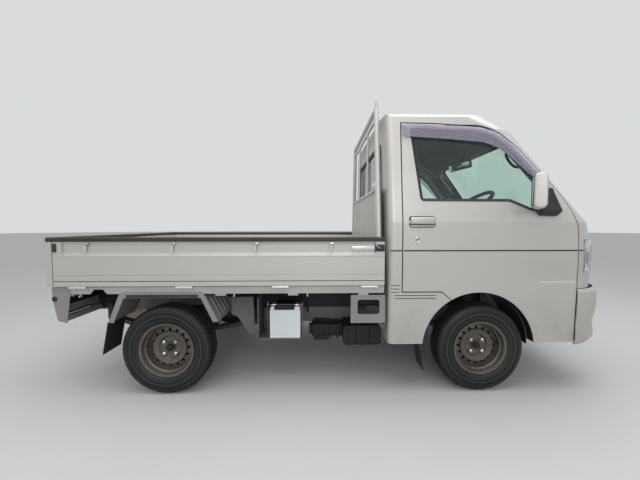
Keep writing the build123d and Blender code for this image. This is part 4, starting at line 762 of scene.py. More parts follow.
class TRUCK_OT_wheel_trim(bpy.types.Operator):
    """Makes the wheel nuts, hub caps, brake drums and valves"""

    bl_idname = "truck.wheel_trim"
    bl_label = "Wheel trim"
    bl_options = {"REGISTER", "UNDO"}

    def execute(self, context):
        for label, x, side in WHEELS:
            body = f"wheel_{label}"
            nuts = bmesh.new()
            for quarter in range(4):
                angle = math.radians(45 + 90 * quarter)
                add_hexagon(nuts, (x + NUT_CIRCLE * math.cos(angle), side * (WHEEL_Y + NUT_OUT),
                                   AXLE_Z + NUT_CIRCLE * math.sin(angle)), side, 0.0114, 0.0172, dome=0.28)
            finish_piece(f"wheel_nuts_{label}", nuts, "nut", body, slot="rim_paint")
            for part, profile, steps in (("hub_cap", HUB_CAP, 32), ("brake_drum", BRAKE_DRUM, 64)):
                form = bmesh.new()
                add_turned(form, profile, (x, side * WHEEL_Y, AXLE_Z), side, steps=steps)
                finish_piece(f"{part}_{label}", form, "case", body, slot="rim_paint")
            valve = bmesh.new()
            along, out, up = VALVE_PLACE
            foot = Vector((x + along, side * (WHEEL_Y + out), AXLE_Z + up))
            neck = foot + Vector((0.002, side * 0.016, 0))
            add_rod(valve, foot, neck, 0.0042, sides=14)
            add_rod(valve, neck, foot + Vector((0.003, side * 0.029, 0)), 0.003, sides=12)
            finish_piece(f"valve_{label}", valve, "rubber", body, slot="tyre")
        return {"FINISHED"}


# Upper and lower edge of a rain visor, and the two edges of the trim inside a front pillar, in X and Z
VISOR_UPPER = ((0.376, 1.632), (0.612, 1.6265), (0.857, 1.612), (0.96, 1.578), (1.03, 1.527),
               (1.1615, 1.385), (1.286, 1.229))
VISOR_LOWER = ((0.38, 1.552), (0.64, 1.536), (0.862, 1.517), (0.94, 1.49), (1.0, 1.448), (1.131, 1.322),
               (1.268, 1.216))
PILLAR_REAR = ((1.1, 1.489), (1.23, 1.345), (1.3595, 1.2), (1.402, 1.11))
PILLAR_FRONT = ((1.164, 1.503), (1.3, 1.36), (1.432, 1.214), (1.48, 1.12))
# Bow of a visor: share of its height from the top, and how far it stands off the door there
VISOR_BOW = ((0.0, 0.004), (0.12, 0.013), (0.45, 0.019), (1.0, 0.021))
VISOR_POINTS = 34
# Seals: how far they lap round the opening, their lift and thickness; and the highest edge of the inner one,
# widened as painted shade
SEAL_LAP, SCREEN_LAP, SCREEN_SEAL = 0.0045, 0.006, 0.016
SEAL_LIFT, SEAL_THICK, SCREEN_SEAL_THICK = 0.0025, 0.0045, 0.005
INNER_SEAL_AND_SHADE_LAP, INNER_SEAL_TOP, LINING_THICK = 0.044, 1.627, 0.0025
# Wipers: where each pivot and tip stands across the cab, and height of pivots and blades
WIPERS = (("left", 0.42, -0.1), ("right", -0.12, -0.6))
PIVOT_Z, BLADE_Z, BLADE_BOW = 1.052, 1.098, 0.012
BLADE_SHARES = (0.18, 0.38, 0.56, 0.74, 0.92)


class TRUCK_OT_window_trim(bpy.types.Operator):
    """Makes the window seals, the inner one widened into painted shade, rain visors and wipers"""

    bl_idname = "truck.window_trim"
    bl_label = "Window trim"
    bl_options = {"REGISTER", "UNDO"}

    def execute(self, context):
        sizes = context.scene.truck_sizes
        for side, name in SIDES:
            body = f"door_{name}"
            tree = surface_tree(f"door_{name}", f"door_glass_{name}")
            outline = rounded(SIDE_WINDOW, SIDE_WINDOW_CORNER)
            seal = bmesh.new()
            add_band(seal, moved_in(outline, -SEAL_LAP), moved_in(outline, sizes.seal - SEAL_LAP),
                     side_point(tree, side, SEAL_LIFT), SEAL_THICK)
            finish_piece(f"window_seal_{name}", seal, "rubber", body)
            # Inner band: a rubber seal, widened over the door's inner frame as painted shade
            lining = bmesh.new()
            wide = [Vector((point.x, min(point.y, INNER_SEAL_TOP))) for point in
                    moved_in(outline, -INNER_SEAL_AND_SHADE_LAP)]
            add_band(lining, wide, moved_in(outline, 0.004), inner_point(tree, side, 0.006), LINING_THICK)
            finish_piece(f"inner_seal_{name}", lining, "rubber", body)
            post = bmesh.new()
            add_strip(post, PILLAR_REAR, PILLAR_FRONT,
                      inner_point(surface_tree("cab_shell", "windscreen"), side, 0.008), LINING_THICK)
            finish_piece(f"pillar_trim_{name}", post, "rubber", slot="dark_plastic")
            visor = bmesh.new()
            upper, lower = resampled(VISOR_UPPER, VISOR_POINTS), resampled(VISOR_LOWER, VISOR_POINTS)
            both = surface_tree(f"door_{name}", f"door_glass_{name}", "cab_shell", "cab_roof")
            rows = []
            for share, lift in VISOR_BOW:
                place = side_point(both, side, lift)
                rows.append([visor.verts.new(place(first.lerp(second, share)))
                             for first, second in zip(upper, lower)])
            for first, second in zip(rows, rows[1:]):
                edges = [visor.edges.get(pair) or visor.edges.new(pair) for row in (first, second)
                         for pair in zip(row, row[1:])]
                bmesh.ops.bridge_loops(visor, edges=edges)
            thicken(visor, visor.faces[:], 0.0022)
            finish_piece(f"rain_visor_{name}", visor, "visor", body)
        for label, points, end, nodes in (("windscreen", WINDSCREEN, 1, ("windscreen", "cab_shell")),
                                          ("rear_window", REAR_WINDOW, -1, ("rear_window", "cab_back"))):
            outline = rounded(points, SCREEN_CORNER)
            seal = bmesh.new()
            add_band(seal, moved_in(outline, -SCREEN_LAP), moved_in(outline, SCREEN_SEAL),
                     end_point(surface_tree(*nodes), end, SEAL_LIFT), SCREEN_SEAL_THICK)
            finish_piece(f"{label}_seal", seal, "rubber")
        screen = surface_tree("windscreen", "cab_shell", "nose_panel")
        near, far = end_point(screen, 1, 0.004), end_point(screen, 1, 0.022)
        for name, pivot_y, tip_y in WIPERS:
            wiper = bmesh.new()
            line = [(pivot_y + (tip_y - pivot_y) * share, BLADE_Z + BLADE_BOW * math.sin(math.pi * share))
                    for share in BLADE_SHARES]
            blade = [far(point) for point in line]
            add_tube(wiper, blade, 0.0052)
            add_tube(wiper, [near(point) + Vector((0.004, 0, 0)) for point in line], 0.003)
            pivot = near((pivot_y, PIVOT_Z))
            add_rod(wiper, pivot - Vector((0.006, 0, 0.004)), pivot + Vector((0.01, 0, 0.007)), 0.009)
            middle = blade[2] + Vector((0.006, 0, 0.004))
            bend = pivot.lerp(middle, 0.5) + Vector((0.014, 0, 0.01))
            add_tube(wiper, [pivot + Vector((0.009, 0, 0.006)), bend, middle], 0.0055)
            finish_piece(f"wiper_{name}", wiper, "plastic")
        return {"FINISHED"}


# Door handle: its well in X and Z, the span of its grip, and how far grip and hinge bar stand out
HANDLE_WELL = ((0.4065, 1.004), (0.5615, 1.004), (0.5615, 1.0715), (0.4065, 1.0715))
HANDLE_SPAN = (0.4125, 0.5555)
GRIP_OUT, HINGE_BAR_OUT = 0.016, 0.01
LOCK_X, LOCK_Z = 0.4575, 0.934
LOCK = ((0.0, 0.0028), (0.012, 0.0028), (0.0138, 0.0042), (0.0156, 0.0038), (0.0168, 0.0), (0.0, 0.0))
# Pressed line round the cab, drawn as a black strip of painted shade: its two edges and steps, and the pieces
# it runs over with their ends
LINE_HEIGHTS, LINE_STEPS = (0.871, 0.864), 48
LINE_PARTS = (("door", None, 0.3775, 1.4195), ("rear", ("cab_shell", "cab_back"), 0.2985, 0.3645),
              ("nose", ("nose_panel",), 1.4285, 1.462))
# Pressed louvre lines behind the doors, drawn as black strips of painted shade: rear end and half their
# width, then front end and height of each
LOUVRE_REAR, LOUVRE_HALF, LOUVRE_STEPS = 0.303, 0.0016, 8
LOUVRES = ((0.351, 0.661), (0.351, 0.64), (0.351, 0.62), (0.573, 0.601), (0.573, 0.583))
# Inner door panel in X and Z, and its window winder
DOOR_CARD = ((0.43, 0.672), (1.372, 0.672), (1.372, 1.03), (1.11, 1.078), (0.98, 1.12), (0.43, 1.125))
CARD_THICK, CARD_LEAN = 0.007, 0.105
WINDER_X, WINDER_Z = 1.12, 0.9


class TRUCK_OT_door_trim(bpy.types.Operator):
    """Makes the handles, locks, black strips of painted shade in the pressed lines, and inner panels of the
    doors
    """

    bl_idname = "truck.door_trim"
    bl_label = "Door trim"
    bl_options = {"REGISTER", "UNDO"}

    def execute(self, context):
        for side, name in SIDES:
            body = f"door_{name}"
            tree = surface_tree(f"door_{name}")
            skin = side_point(tree, side, 0.0)
            well = bmesh.new()
            add_patch(well, rounded(HANDLE_WELL, 0.016), side_point(tree, side, 0.0012), 0.0016)
            finish_piece(f"handle_well_{name}", well, "plastic", body)
            out = abs(skin((0.484, 1.04)).y)
            grip = bmesh.new()
            add_side_box(grip, side, HANDLE_SPAN, (out, out + GRIP_OUT), (1.0245, 1.066), 0.0075, 3)
            finish_piece(f"handle_{name}", grip, "paint", body)
            hinge = bmesh.new()
            add_side_box(hinge, side, HANDLE_SPAN, (out, out + HINGE_BAR_OUT), (1.009, 1.0175), 0.003)
            finish_piece(f"handle_hinge_{name}", hinge, "paint", body)
            lock_y = skin((LOCK_X, LOCK_Z)).y
            lock = bmesh.new()
            add_turned(lock, LOCK, (LOCK_X, lock_y, LOCK_Z), side, steps=28)
            finish_piece(f"lock_{name}", lock, "chrome", body, slot="body_paint")
            slot = bmesh.new()
            add_box(slot, (LOCK_X - 0.0012, lock_y - 0.0034, LOCK_Z - 0.005),
                    (LOCK_X + 0.0012, lock_y + 0.0034, LOCK_Z + 0.005))
            finish_piece(f"lock_slot_{name}", slot, "plastic", body)
            # Black strip along the pressed line: painted shade in its groove
            for part, nodes, first, last in LINE_PARTS:
                line = bmesh.new()
                add_line(line, (first, last), LINE_STEPS, LINE_HEIGHTS,
                         surface_tree(*nodes) if nodes else tree, side)
                finish_piece(f"body_line_{part}_{name}", line, "rubber", "root" if nodes else body)
            # Black strips along the louvres: painted shade in their grooves
            louvre_shades = bmesh.new()
            shell = surface_tree("cab_shell", "cab_back")
            for end, height in LOUVRES:
                add_line(louvre_shades, (LOUVRE_REAR, end), LOUVRE_STEPS,
                         (height + LOUVRE_HALF, height - LOUVRE_HALF), shell, side)
            finish_piece(f"louvres_{name}", louvre_shades, "rubber")
            depth = abs(inner_point(tree, side, 0.0)((0.7, 0.95)).y)
            card = bmesh.new()
            face = card.faces.new([
                card.verts.new((point.x, side * (depth - 0.001 - max(point.y - 1.0, 0) * CARD_LEAN), point.y))
                for point in rounded(DOOR_CARD, 0.03)])
            made = bmesh.ops.extrude_face_region(card, geom=[face])["geom"]
            bmesh.ops.translate(card, verts=[item for item in made if isinstance(item, bmesh.types.BMVert)],
                                vec=(0, -side * CARD_THICK, 0))
            finish_piece(f"door_card_{name}", card, "grey plastic", body)
            rest = bmesh.new()
            add_side_box(rest, side, (0.64, 1.01), (depth - 0.045, depth - 0.004), (0.93, 0.975), 0.014, 3)
            add_rod(rest, (WINDER_X, side * (depth - 0.004), WINDER_Z),
                    (WINDER_X, side * (depth - 0.03), WINDER_Z), 0.02)
            add_tube(rest, [(WINDER_X, side * (depth - 0.028), WINDER_Z),
                            (1.06, side * (depth - 0.036), 0.915),
                            (1.015, side * (depth - 0.04), 0.925)], 0.0075)
            add_ball(rest, (1.01, side * (depth - 0.048), 0.926), 0.013)
            add_side_box(rest, side, (1.18, 1.27), (depth - 0.033, depth - 0.004), (0.985, 1.01), 0.006)
            finish_piece(f"arm_rest_{name}", rest, "plastic", body)
        return {"FINISHED"}


# Middle of a mirror shell, its half sizes, and how far it is turned towards the cab
MIRROR_MIDDLE = (1.0875, 0.8495, 1.202)
MIRROR_HALF = (0.031, 0.07, 0.095)
MIRROR_TURN = math.radians(32.0)
# Mirror face in its own frame: half width and half height of the glass and of the rim round it
GLASS_HALF = (0.0595, 0.074)
RIM_HALF = (0.0635, 0.078)
GLASS_DEPTH, RIM_DEPTH = (-0.0322, -0.0305), (-0.0327, -0.03)


class TRUCK_OT_mirrors(bpy.types.Operator):
    """Makes the mirror faces and parts the painted shells from the black arms and corner plates"""

    bl_idname = "truck.mirrors"
    bl_label = "Mirrors"
    bl_options = {"REGISTER", "UNDO"}

    def execute(self, context):
        for side, name in SIDES:
            body = f"door_{name}"
            middle = Vector((MIRROR_MIDDLE[0], side * MIRROR_MIDDLE[1], MIRROR_MIDDLE[2]))
            turned = Matrix.Translation(middle) @ Matrix.Rotation(side * MIRROR_TURN, 4, "Z")
            inverse = turned.inverted()
            forms = {"shell": copied_form(f"mirror_{name}"), "arm": copied_form(f"mirror_{name}")}
            for part, form in forms.items():
                extra = []
                for piece_face in form.faces:
                    local = inverse @ piece_face.calc_center_median()
                    inside = all(abs(place) < half + 0.0012 for place, half in zip(local, MIRROR_HALF))
                    if inside != (part == "shell"):
                        extra.append(piece_face)
                bmesh.ops.delete(form, geom=extra, context="FACES")
            shell = finish_piece(f"mirror_shell_{name}", forms["shell"], "paint", body)
            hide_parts(f"mirror_{name}")
            finish_piece(f"mirror_arm_{name}", forms["arm"], "plastic", body)
            face, rim = bmesh.new(), bmesh.new()
            (wide, tall), (rim_wide, rim_tall) = GLASS_HALF, RIM_HALF
            add_box(face, (GLASS_DEPTH[0], -wide, -tall), (GLASS_DEPTH[1], wide, tall), 0.0006)
            for y0, y1, z0, z1 in ((-rim_wide, -wide, -rim_tall, rim_tall),
                                   (wide, rim_wide, -rim_tall, rim_tall),
                                   (-wide, wide, tall, rim_tall), (-wide, wide, -rim_tall, -tall)):
                add_box(rim, (RIM_DEPTH[0], y0, z0), (RIM_DEPTH[1], y1, z1), 0.0008)
            for form in (face, rim):
                bmesh.ops.transform(form, verts=form.verts, matrix=turned)
            finish_piece(f"mirror_face_{name}", face, "mirror", body)
            finish_piece(f"mirror_rim_{name}", rim, "plastic", body)
        return {"FINISHED"}


# Headlamp: middle of its bowl, and outline of the turn lamp beside it in Y and Z
HEADLAMP_X, HEADLAMP_Y, HEADLAMP_Z = 1.604, 0.505, 0.835
TURN_LAMP = ((0.668, 0.775), (0.712, 0.79), (0.712, 0.86), (0.66, 0.86))
BOWL_SHARES = (0.0, 0.2, 0.4, 0.6, 0.8, 1.0)
# Grille: lowest slot, rise from slot to slot and half width; intake: lowest bar and rise from bar to bar
GRILLE_Z, GRILLE_PITCH, GRILLE_HALF = 0.778, 0.024, 0.299
INTAKE_Z, INTAKE_PITCH = 0.44, 0.014
# Blank plates: half width, and how far their bolts stand from the middle
PLATE_HALF, PLATE_BOLT = 0.165, 0.105


def lamp_front(form):
    """Faces of the headlamp solids that look forward, and those that wrap round the corner of the cab."""
    chosen = []
    for face in form.faces:
        middle, normal = face.calc_center_median(), face.normal
        on_flank = abs(middle.y) > 0.6 and normal.y * middle.y > 0.0 and abs(normal.y) > 0.4
        if normal.x > 0.25 or (on_flank and normal.x > -0.2):
            chosen.append(face)
    return chosen


class TRUCK_OT_front_trim(bpy.types.Operator):
    """Makes the headlamps, grille and intake backs and the blank plate of the front"""

    bl_idname = "truck.front_trim"
    bl_label = "Front trim"
    bl_options = {"REGISTER", "UNDO"}

    def execute(self, context):
        lens = copied_form("headlamps")
        kept = set(lamp_front(lens))
        bmesh.ops.delete(lens, geom=[face for face in lens.faces if face not in kept], context="FACES")
        bmesh.ops.solidify(lens, geom=lens.faces[:], thickness=-0.003)
        lens_piece = finish_piece("headlamp_lens", lens, "clear", crease=40)
        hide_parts("headlamps")
        housing = copied_form("headlamps")
        bmesh.ops.delete(housing, geom=lamp_front(housing), context="FACES")
        bmesh.ops.solidify(housing, geom=housing.faces[:], thickness=0.0015)
        finish_piece("headlamp_housing", housing, "reflector", crease=40)
        tree = surface_tree("headlamps")
        for side, name in SIDES:
            middle = Vector((HEADLAMP_X, side * HEADLAMP_Y, HEADLAMP_Z))
            bowl = bmesh.new()
            profile = [(0.012 + 0.05 * share, -0.036 + 0.036 * share ** 2) for share in BOWL_SHARES]
            add_turned(bowl, profile + [(0.066, 0.0), (0.066, -0.004)], (0, 0, 0), 1, steps=40)
            bmesh.ops.transform(bowl, verts=bowl.verts, matrix=Matrix.Translation(middle)
                                @ Matrix.Rotation(math.radians(-90), 4, "Z"))
            bmesh.ops.solidify(bowl, geom=bowl.faces[:], thickness=0.0012)
            finish_piece(f"headlamp_bowl_{name}", bowl, "reflector", crease=50)
            bulb = bmesh.new()
            add_rod(bulb, middle - Vector((0.034, 0, 0)), middle - Vector((0.012, 0, 0)), 0.006)
            add_ball(bulb, middle - Vector((0.008, 0, 0)), 0.009)
            finish_piece(f"headlamp_bulb_{name}", bulb, "white lens")
            turn = bmesh.new()
            outline = rounded([(side * y, z) for y, z in TURN_LAMP], 0.008, gap=0.012)
            add_patch(turn, outline, end_point(tree, 1, -0.007), 0.003)
            finish_piece(f"turn_lamp_{name}", turn, "amber")
        grille = bmesh.new()
        for slot in range(3):
            low = GRILLE_Z + slot * GRILLE_PITCH + 0.0005
            high = GRILLE_Z + slot * GRILLE_PITCH + 0.0115
            add_box(grille, (1.6165, -GRILLE_HALF, low), (1.6195, GRILLE_HALF, high))
            for y in [-0.28 + rib * 0.04 for rib in range(15)]:
                add_box(grille, (1.6195, y - 0.002, low), (1.6265, y + 0.002, high))
        finish_piece("grille_back", grille, "plastic")
        intake = bmesh.new()
        add_box(intake, (1.656, -0.43, 0.415), (1.659, 0.43, 0.505))
        for z in [INTAKE_Z + bar * INTAKE_PITCH for bar in range(4)]:
            add_box(intake, (1.659, -0.419, z), (1.666, 0.419, z + 0.004))
        finish_piece("intake_back", intake, "plastic")
        plate = bmesh.new()
        add_box(plate, (1.6925, -PLATE_HALF, 0.338), (1.6937, PLATE_HALF, 0.503), 0.0005)
        finish_piece("front_plate", plate, "plate")
        bolts = bmesh.new()
        for y in (-PLATE_BOLT, PLATE_BOLT):
            add_rod(bolts, (1.6935, y, 0.482), (1.6968, y, 0.482), 0.0075, sides=6)
            add_rod(bolts, (1.66, y, 0.47), (1.693, y, 0.47), 0.008)
        finish_piece("front_plate_bolts", bolts, "nut")
        return {"FINISHED"}


# Tail lamp lenses: name, finish, and the near and far edge from the middle plane
TAIL_LENSES = (("stop", "red", 0.586, 0.686), ("turn", "amber", 0.53, 0.583),
               ("reverse", "white lens", 0.474, 0.527))


class TRUCK_OT_rear_trim(bpy.types.Operator):
    """Makes the tail lamps, the blank rear plate and its lamp"""

    bl_idname = "truck.rear_trim"
    bl_label = "Rear trim"
    bl_options = {"REGISTER", "UNDO"}

    def execute(self, context):
        for side, name in SIDES:
            housing = bmesh.new()
            add_side_box(housing, side, (-1.662, -1.6335), (0.47, 0.69), (0.484, 0.572), 0.008, 3)
            case = finish_piece(f"tail_lamp_case_{name}", housing, "plastic")
            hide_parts("tail_lamps")
            for label, finish, near, far in TAIL_LENSES:
                lens = bmesh.new()
                add_side_box(lens, side, (-1.6735, -1.66), (near, far), (0.488, 0.568), 0.004, 3)
                finish_piece(f"{label}_lens_{name}", lens, finish, slot="lamp_red")
            screws = bmesh.new()
            for y in (0.482, 0.678):
                add_rod(screws, (-1.6742, side * y, 0.562), (-1.6725, side * y, 0.562), 0.003, sides=12)
            finish_piece(f"tail_lamp_screws_{name}", screws, "nut")
        plate = bmesh.new()
        add_box(plate, (-1.6702, -PLATE_HALF, 0.43), (-1.669, PLATE_HALF, 0.595), 0.0005)
        finish_piece("rear_plate", plate, "plate")
        holder = bmesh.new()
        add_box(holder, (-1.6685, -0.12, 0.44), (-1.6655, 0.12, 0.612), 0.001)
        for side in (-1, 1):
            add_side_box(holder, side, (-1.6655, -1.6335), (0.09, 0.12), (0.596, 0.612), 0.001)
        finish_piece("rear_plate_holder", holder, "chassis")
        bolts = bmesh.new()
        for y in (-PLATE_BOLT, PLATE_BOLT):
            add_rod(bolts, (-1.6725, y, 0.575), (-1.6695, y, 0.575), 0.0075, sides=6)
        finish_piece("rear_plate_bolts", bolts, "nut")
        lamp = bmesh.new()
        add_box(lamp, (-1.678, -0.205, 0.52), (-1.656, -0.175, 0.56), 0.004)
        add_box(lamp, (-1.656, -0.2, 0.56), (-1.644, -0.18, 0.612), 0.002)
        finish_piece("plate_lamp", lamp, "plastic")
        return {"FINISHED"}


# Side gate: its outer face, middle of the front latch, rope hooks measured from the rear axle, and its hinges
GATE_FACE = 0.7355
LATCH_X, LATCH_Z = 0.233, 0.884
HOOK_XS = (-0.432, 0.064, 0.544, 0.986)
HINGE_XS = (-1.5235, -0.9115, -0.3495, 0.1745)
HINGE_Y, HINGE_Z = 0.7315, 0.654
HINGE_RADIUS, BARREL_HALF, SLEEVE_HALF, SLEEVE_PLACE = 0.0066, 0.0158, 0.016, 0.0322
# Bolts of the guard frame across the bed, and of the bed floor from the rear axle and across
GUARD_BOLT_YS = (-0.52, -0.31, -0.105, 0.105, 0.31, 0.52)
FLOOR_BOLT_XS = (-0.56, -0.15, 0.33, 0.76, 1.18)
FLOOR_BOLT_YS = (-0.62, -0.37, 0.37, 0.62)


class TRUCK_OT_bed_trim(bpy.types.Operator):
    """Makes the gate latches, corner catches, rope hooks, hinges and bolts of the bed"""

    bl_idname = "truck.bed_trim"
    bl_label = "Bed trim"
    bl_options = {"REGISTER", "UNDO"}

    def execute(self, context):
        for side, name in SIDES:
            body = f"gate_{name}"
            plate = bmesh.new()
            add_side_box(plate, side, (0.069, 0.204), (GATE_FACE - 0.003, GATE_FACE + 0.003),
                         (0.8735, 0.8955), 0.0012)
            finish_piece(f"front_latch_{name}", plate, "bright steel", body)
            catch = bmesh.new()
            catch_depth = (GATE_FACE - 0.01, GATE_FACE + 0.004)
            add_side_box(catch, side, (0.205, 0.262), catch_depth, (0.864, 0.905), 0.003)
            add_rod(catch, (LATCH_X, side * GATE_FACE, LATCH_Z),
                    (LATCH_X, side * (GATE_FACE + 0.012), LATCH_Z), 0.0105)
            add_side_box(catch, side, (-1.654, -1.633), catch_depth, (0.862, 0.912), 0.003)
            finish_piece(f"gate_catches_{name}", catch, "plastic", body, slot="grey_steel")
            keeper = bmesh.new()
            add_tube(keeper, [(LATCH_X, side * (GATE_FACE + 0.01), LATCH_Z),
                              (0.218, side * (GATE_FACE + 0.012), 0.896),
                              (0.208, side * (GATE_FACE + 0.01), 0.902)], 0.0035)
            for x in (0.078, 0.136, 0.194):
                add_ball(keeper, (x, side * (GATE_FACE + 0.003), 0.8845), 0.0036, (1, 0.6, 1))
            finish_piece(f"latch_rivets_{name}", keeper, "nut", body, slot="grey_steel")
            heads, rods = bmesh.new(), bmesh.new()
            for x in [REAR_AXLE + place for place in HOOK_XS]:
                add_side_box(heads, side, (x - 0.01, x + 0.018), (GATE_FACE - 0.008, GATE_FACE + 0.003),
                             (0.9035, 0.9165), 0.002)
                rod_x, rod_y = x - 0.002, side * (GATE_FACE - 0.001)
                add_tube(rods, [(rod_x, rod_y, z) for z in (0.903, 0.885, 0.869)], 0.0062)
                add_ball(rods, (rod_x, rod_y, 0.868), 0.0066)
            finish_piece(f"hook_heads_{name}", heads, "nut", body, slot="grey_steel")
            finish_piece(f"hook_rods_{name}", rods, "bright steel", body)
            shade = bmesh.new()
            add_side_box(shade, side, (-1.655, 0.26), (GATE_FACE - 0.0036, GATE_FACE - 0.001),
                         (0.6896, 0.6924))
            finish_piece(f"groove_shade_{name}", shade, "rubber", body)
            moving, fixed = bmesh.new(), bmesh.new()
            for x in HINGE_XS:
                add_bar(moving, x, BARREL_HALF, side * HINGE_Y, HINGE_Z, HINGE_RADIUS)
                pin_x, pin_y = x - 0.011, side * (GATE_FACE + 0.0012)
                add_rod(moving, (pin_x, pin_y, 0.664), (pin_x, pin_y, 0.679), 0.0032, sides=14)
                for step in (-SLEEVE_PLACE, SLEEVE_PLACE):
                    add_bar(fixed, x + step, SLEEVE_HALF, side * HINGE_Y, HINGE_Z, HINGE_RADIUS)
            finish_piece(f"hinge_barrels_{name}", moving, "bright steel", body)
            finish_piece(f"hinge_sleeves_{name}", fixed, "bright steel")
        bolts = bmesh.new()
        for y in GUARD_BOLT_YS:
            add_rod(bolts, (0.229, y, 1.245), (0.2365, y, 1.245), 0.0085, sides=6)
        finish_piece("guard_bolts", bolts, "nut", slot="grey_steel")
        tree = surface_tree("bed_floor")
        floor_bolts = bmesh.new()
        for x in FLOOR_BOLT_XS:
            for y in FLOOR_BOLT_YS:
                spot = dropped(tree, (REAR_AXLE + x, y, 0.9), (0, 0, -1), 0.0, (0, y, 0.664))
                add_ball(floor_bolts, spot, 0.009, (1, 1, 0.28))
        finish_piece("floor_bolts", floor_bolts, "bed paint")
        return {"FINISHED"}


# Seats: how far each stands from the middle of the truck, and how far the backs lean
SEAT_Y = 0.345
BACK_LEAN = math.radians(10.1)
# Cushions: name, middle in X and Z, size, lean, edge radius, and how far the cloth may swell
CUSHIONS = (
    ("cushion", (0.735, 0.876), (0.59, 0.44, 0.112), math.radians(-2.0), 0.036, 0.026),
    ("back", (0.423, 1.15), (0.088, 0.44, 0.49), -BACK_LEAN, 0.034, 0.024),
    ("headrest", (0.379, 1.489), (0.07, 0.226, 0.15), -BACK_LEAN, 0.03, 0.012),
)
# Sewn channels: side of the cushion they are in, axis and place, axis they run along with its span, and depth
SEAMS = {
    "cushion": [(2, 0, x, 1, -0.15, 0.15, 0.007) for x in (-0.17, -0.06, 0.05, 0.16)]
               + [(2, 1, y, 0, -0.27, 0.255, 0.008) for y in (-0.15, 0.15)],
    "back": [(0, 2, z, 1, -0.145, 0.145, 0.007) for z in (-0.15, -0.05, 0.05, 0.15)]
            + [(0, 1, y, 2, -0.215, 0.215, 0.008) for y in (-0.145, 0.145)],
    "headrest": [],
}
SEAM_HALF = 0.0075
CUSHION_VOXEL = 0.009
CLOTH_FRAMES = 20
CLOTH_PRESSURE = 4.0
CLOTH_STIFFNESS = 30.0
# Seat belt: its two edges in X and Z, then the middles and half sizes of its reel and of its upper loop
BELT_REAR = ((0.338, 1.4), (0.336, 1.25), (0.334, 1.05), (0.332, 0.88))
BELT_FRONT = ((0.366, 1.4), (0.366, 1.25), (0.366, 1.05), (0.366, 0.88))
BELT_REELS = ((0.352, 0.86, 0.026, 0.045), (0.352, 1.425, 0.018, 0.03))
# Piping along a cushion in X and Z, and how far it runs from the cushion's middle
PIPING = ((0.47, 0.931), (0.6, 0.935), (0.8, 0.94), (0.95, 0.938), (1.012, 0.922))
PIPING_Y = 0.196


def swollen(name, place, size, bevel):
    """Box cushion, cut fine and set up for the cloth run that blows it up; returned with its points."""
    form = bmesh.new()
    half = [part / 2 for part in size]
    add_box(form, [-part for part in half], half, bevel, 4)
    bmesh.ops.transform(form, verts=form.verts, matrix=place)
    mesh = bpy.data.meshes.new(name)
    form.to_mesh(mesh)
    form.free()
    piece = bpy.data.objects.new(name, mesh)
    bpy.context.scene.collection.objects.link(piece)
    cut = piece.modifiers.new("Cut", "REMESH")
    cut.mode = "VOXEL"
    cut.voxel_size = CUSHION_VOXEL
    baked(piece)
    cloth = piece.modifiers.new("Cloth", "CLOTH")
    cloth.settings.use_pressure = True
    cloth.settings.uniform_pressure_force = CLOTH_PRESSURE
    cloth.settings.effector_weights.gravity = 0.0
    cloth.settings.tension_stiffness = CLOTH_STIFFNESS
    cloth.settings.compression_stiffness = CLOTH_STIFFNESS
    cloth.point_cache.frame_end = CLOTH_FRAMES
    return piece, [vert.co.copy() for vert in piece.data.vertices]


def baked(piece):
    """Applies the modifiers of a piece to its mesh."""
    depsgraph = bpy.context.evaluated_depsgraph_get()
    mesh = bpy.data.meshes.new_from_object(piece.evaluated_get(depsgraph))
    piece.modifiers.clear()
    piece.data = mesh


def sew(mesh, place, seams):
    """Presses sewn channels into a cushion, in the frame of its place."""
    inverse = place.inverted()
    turned = inverse.to_3x3()
    normals = [vert.normal.copy() for vert in mesh.vertices]
    for vert, normal in zip(mesh.vertices, normals):
        local, looks = inverse @ vert.co, turned @ normal
        depth = 0.0
        for facing, axis, at, across, low, high, deep in seams:
            if looks[facing] >= 0.3 and low < local[across] < high:
                depth = max(depth, deep * math.exp(-((local[axis] - at) / SEAM_HALF) ** 2))
        vert.co -= normal * depth


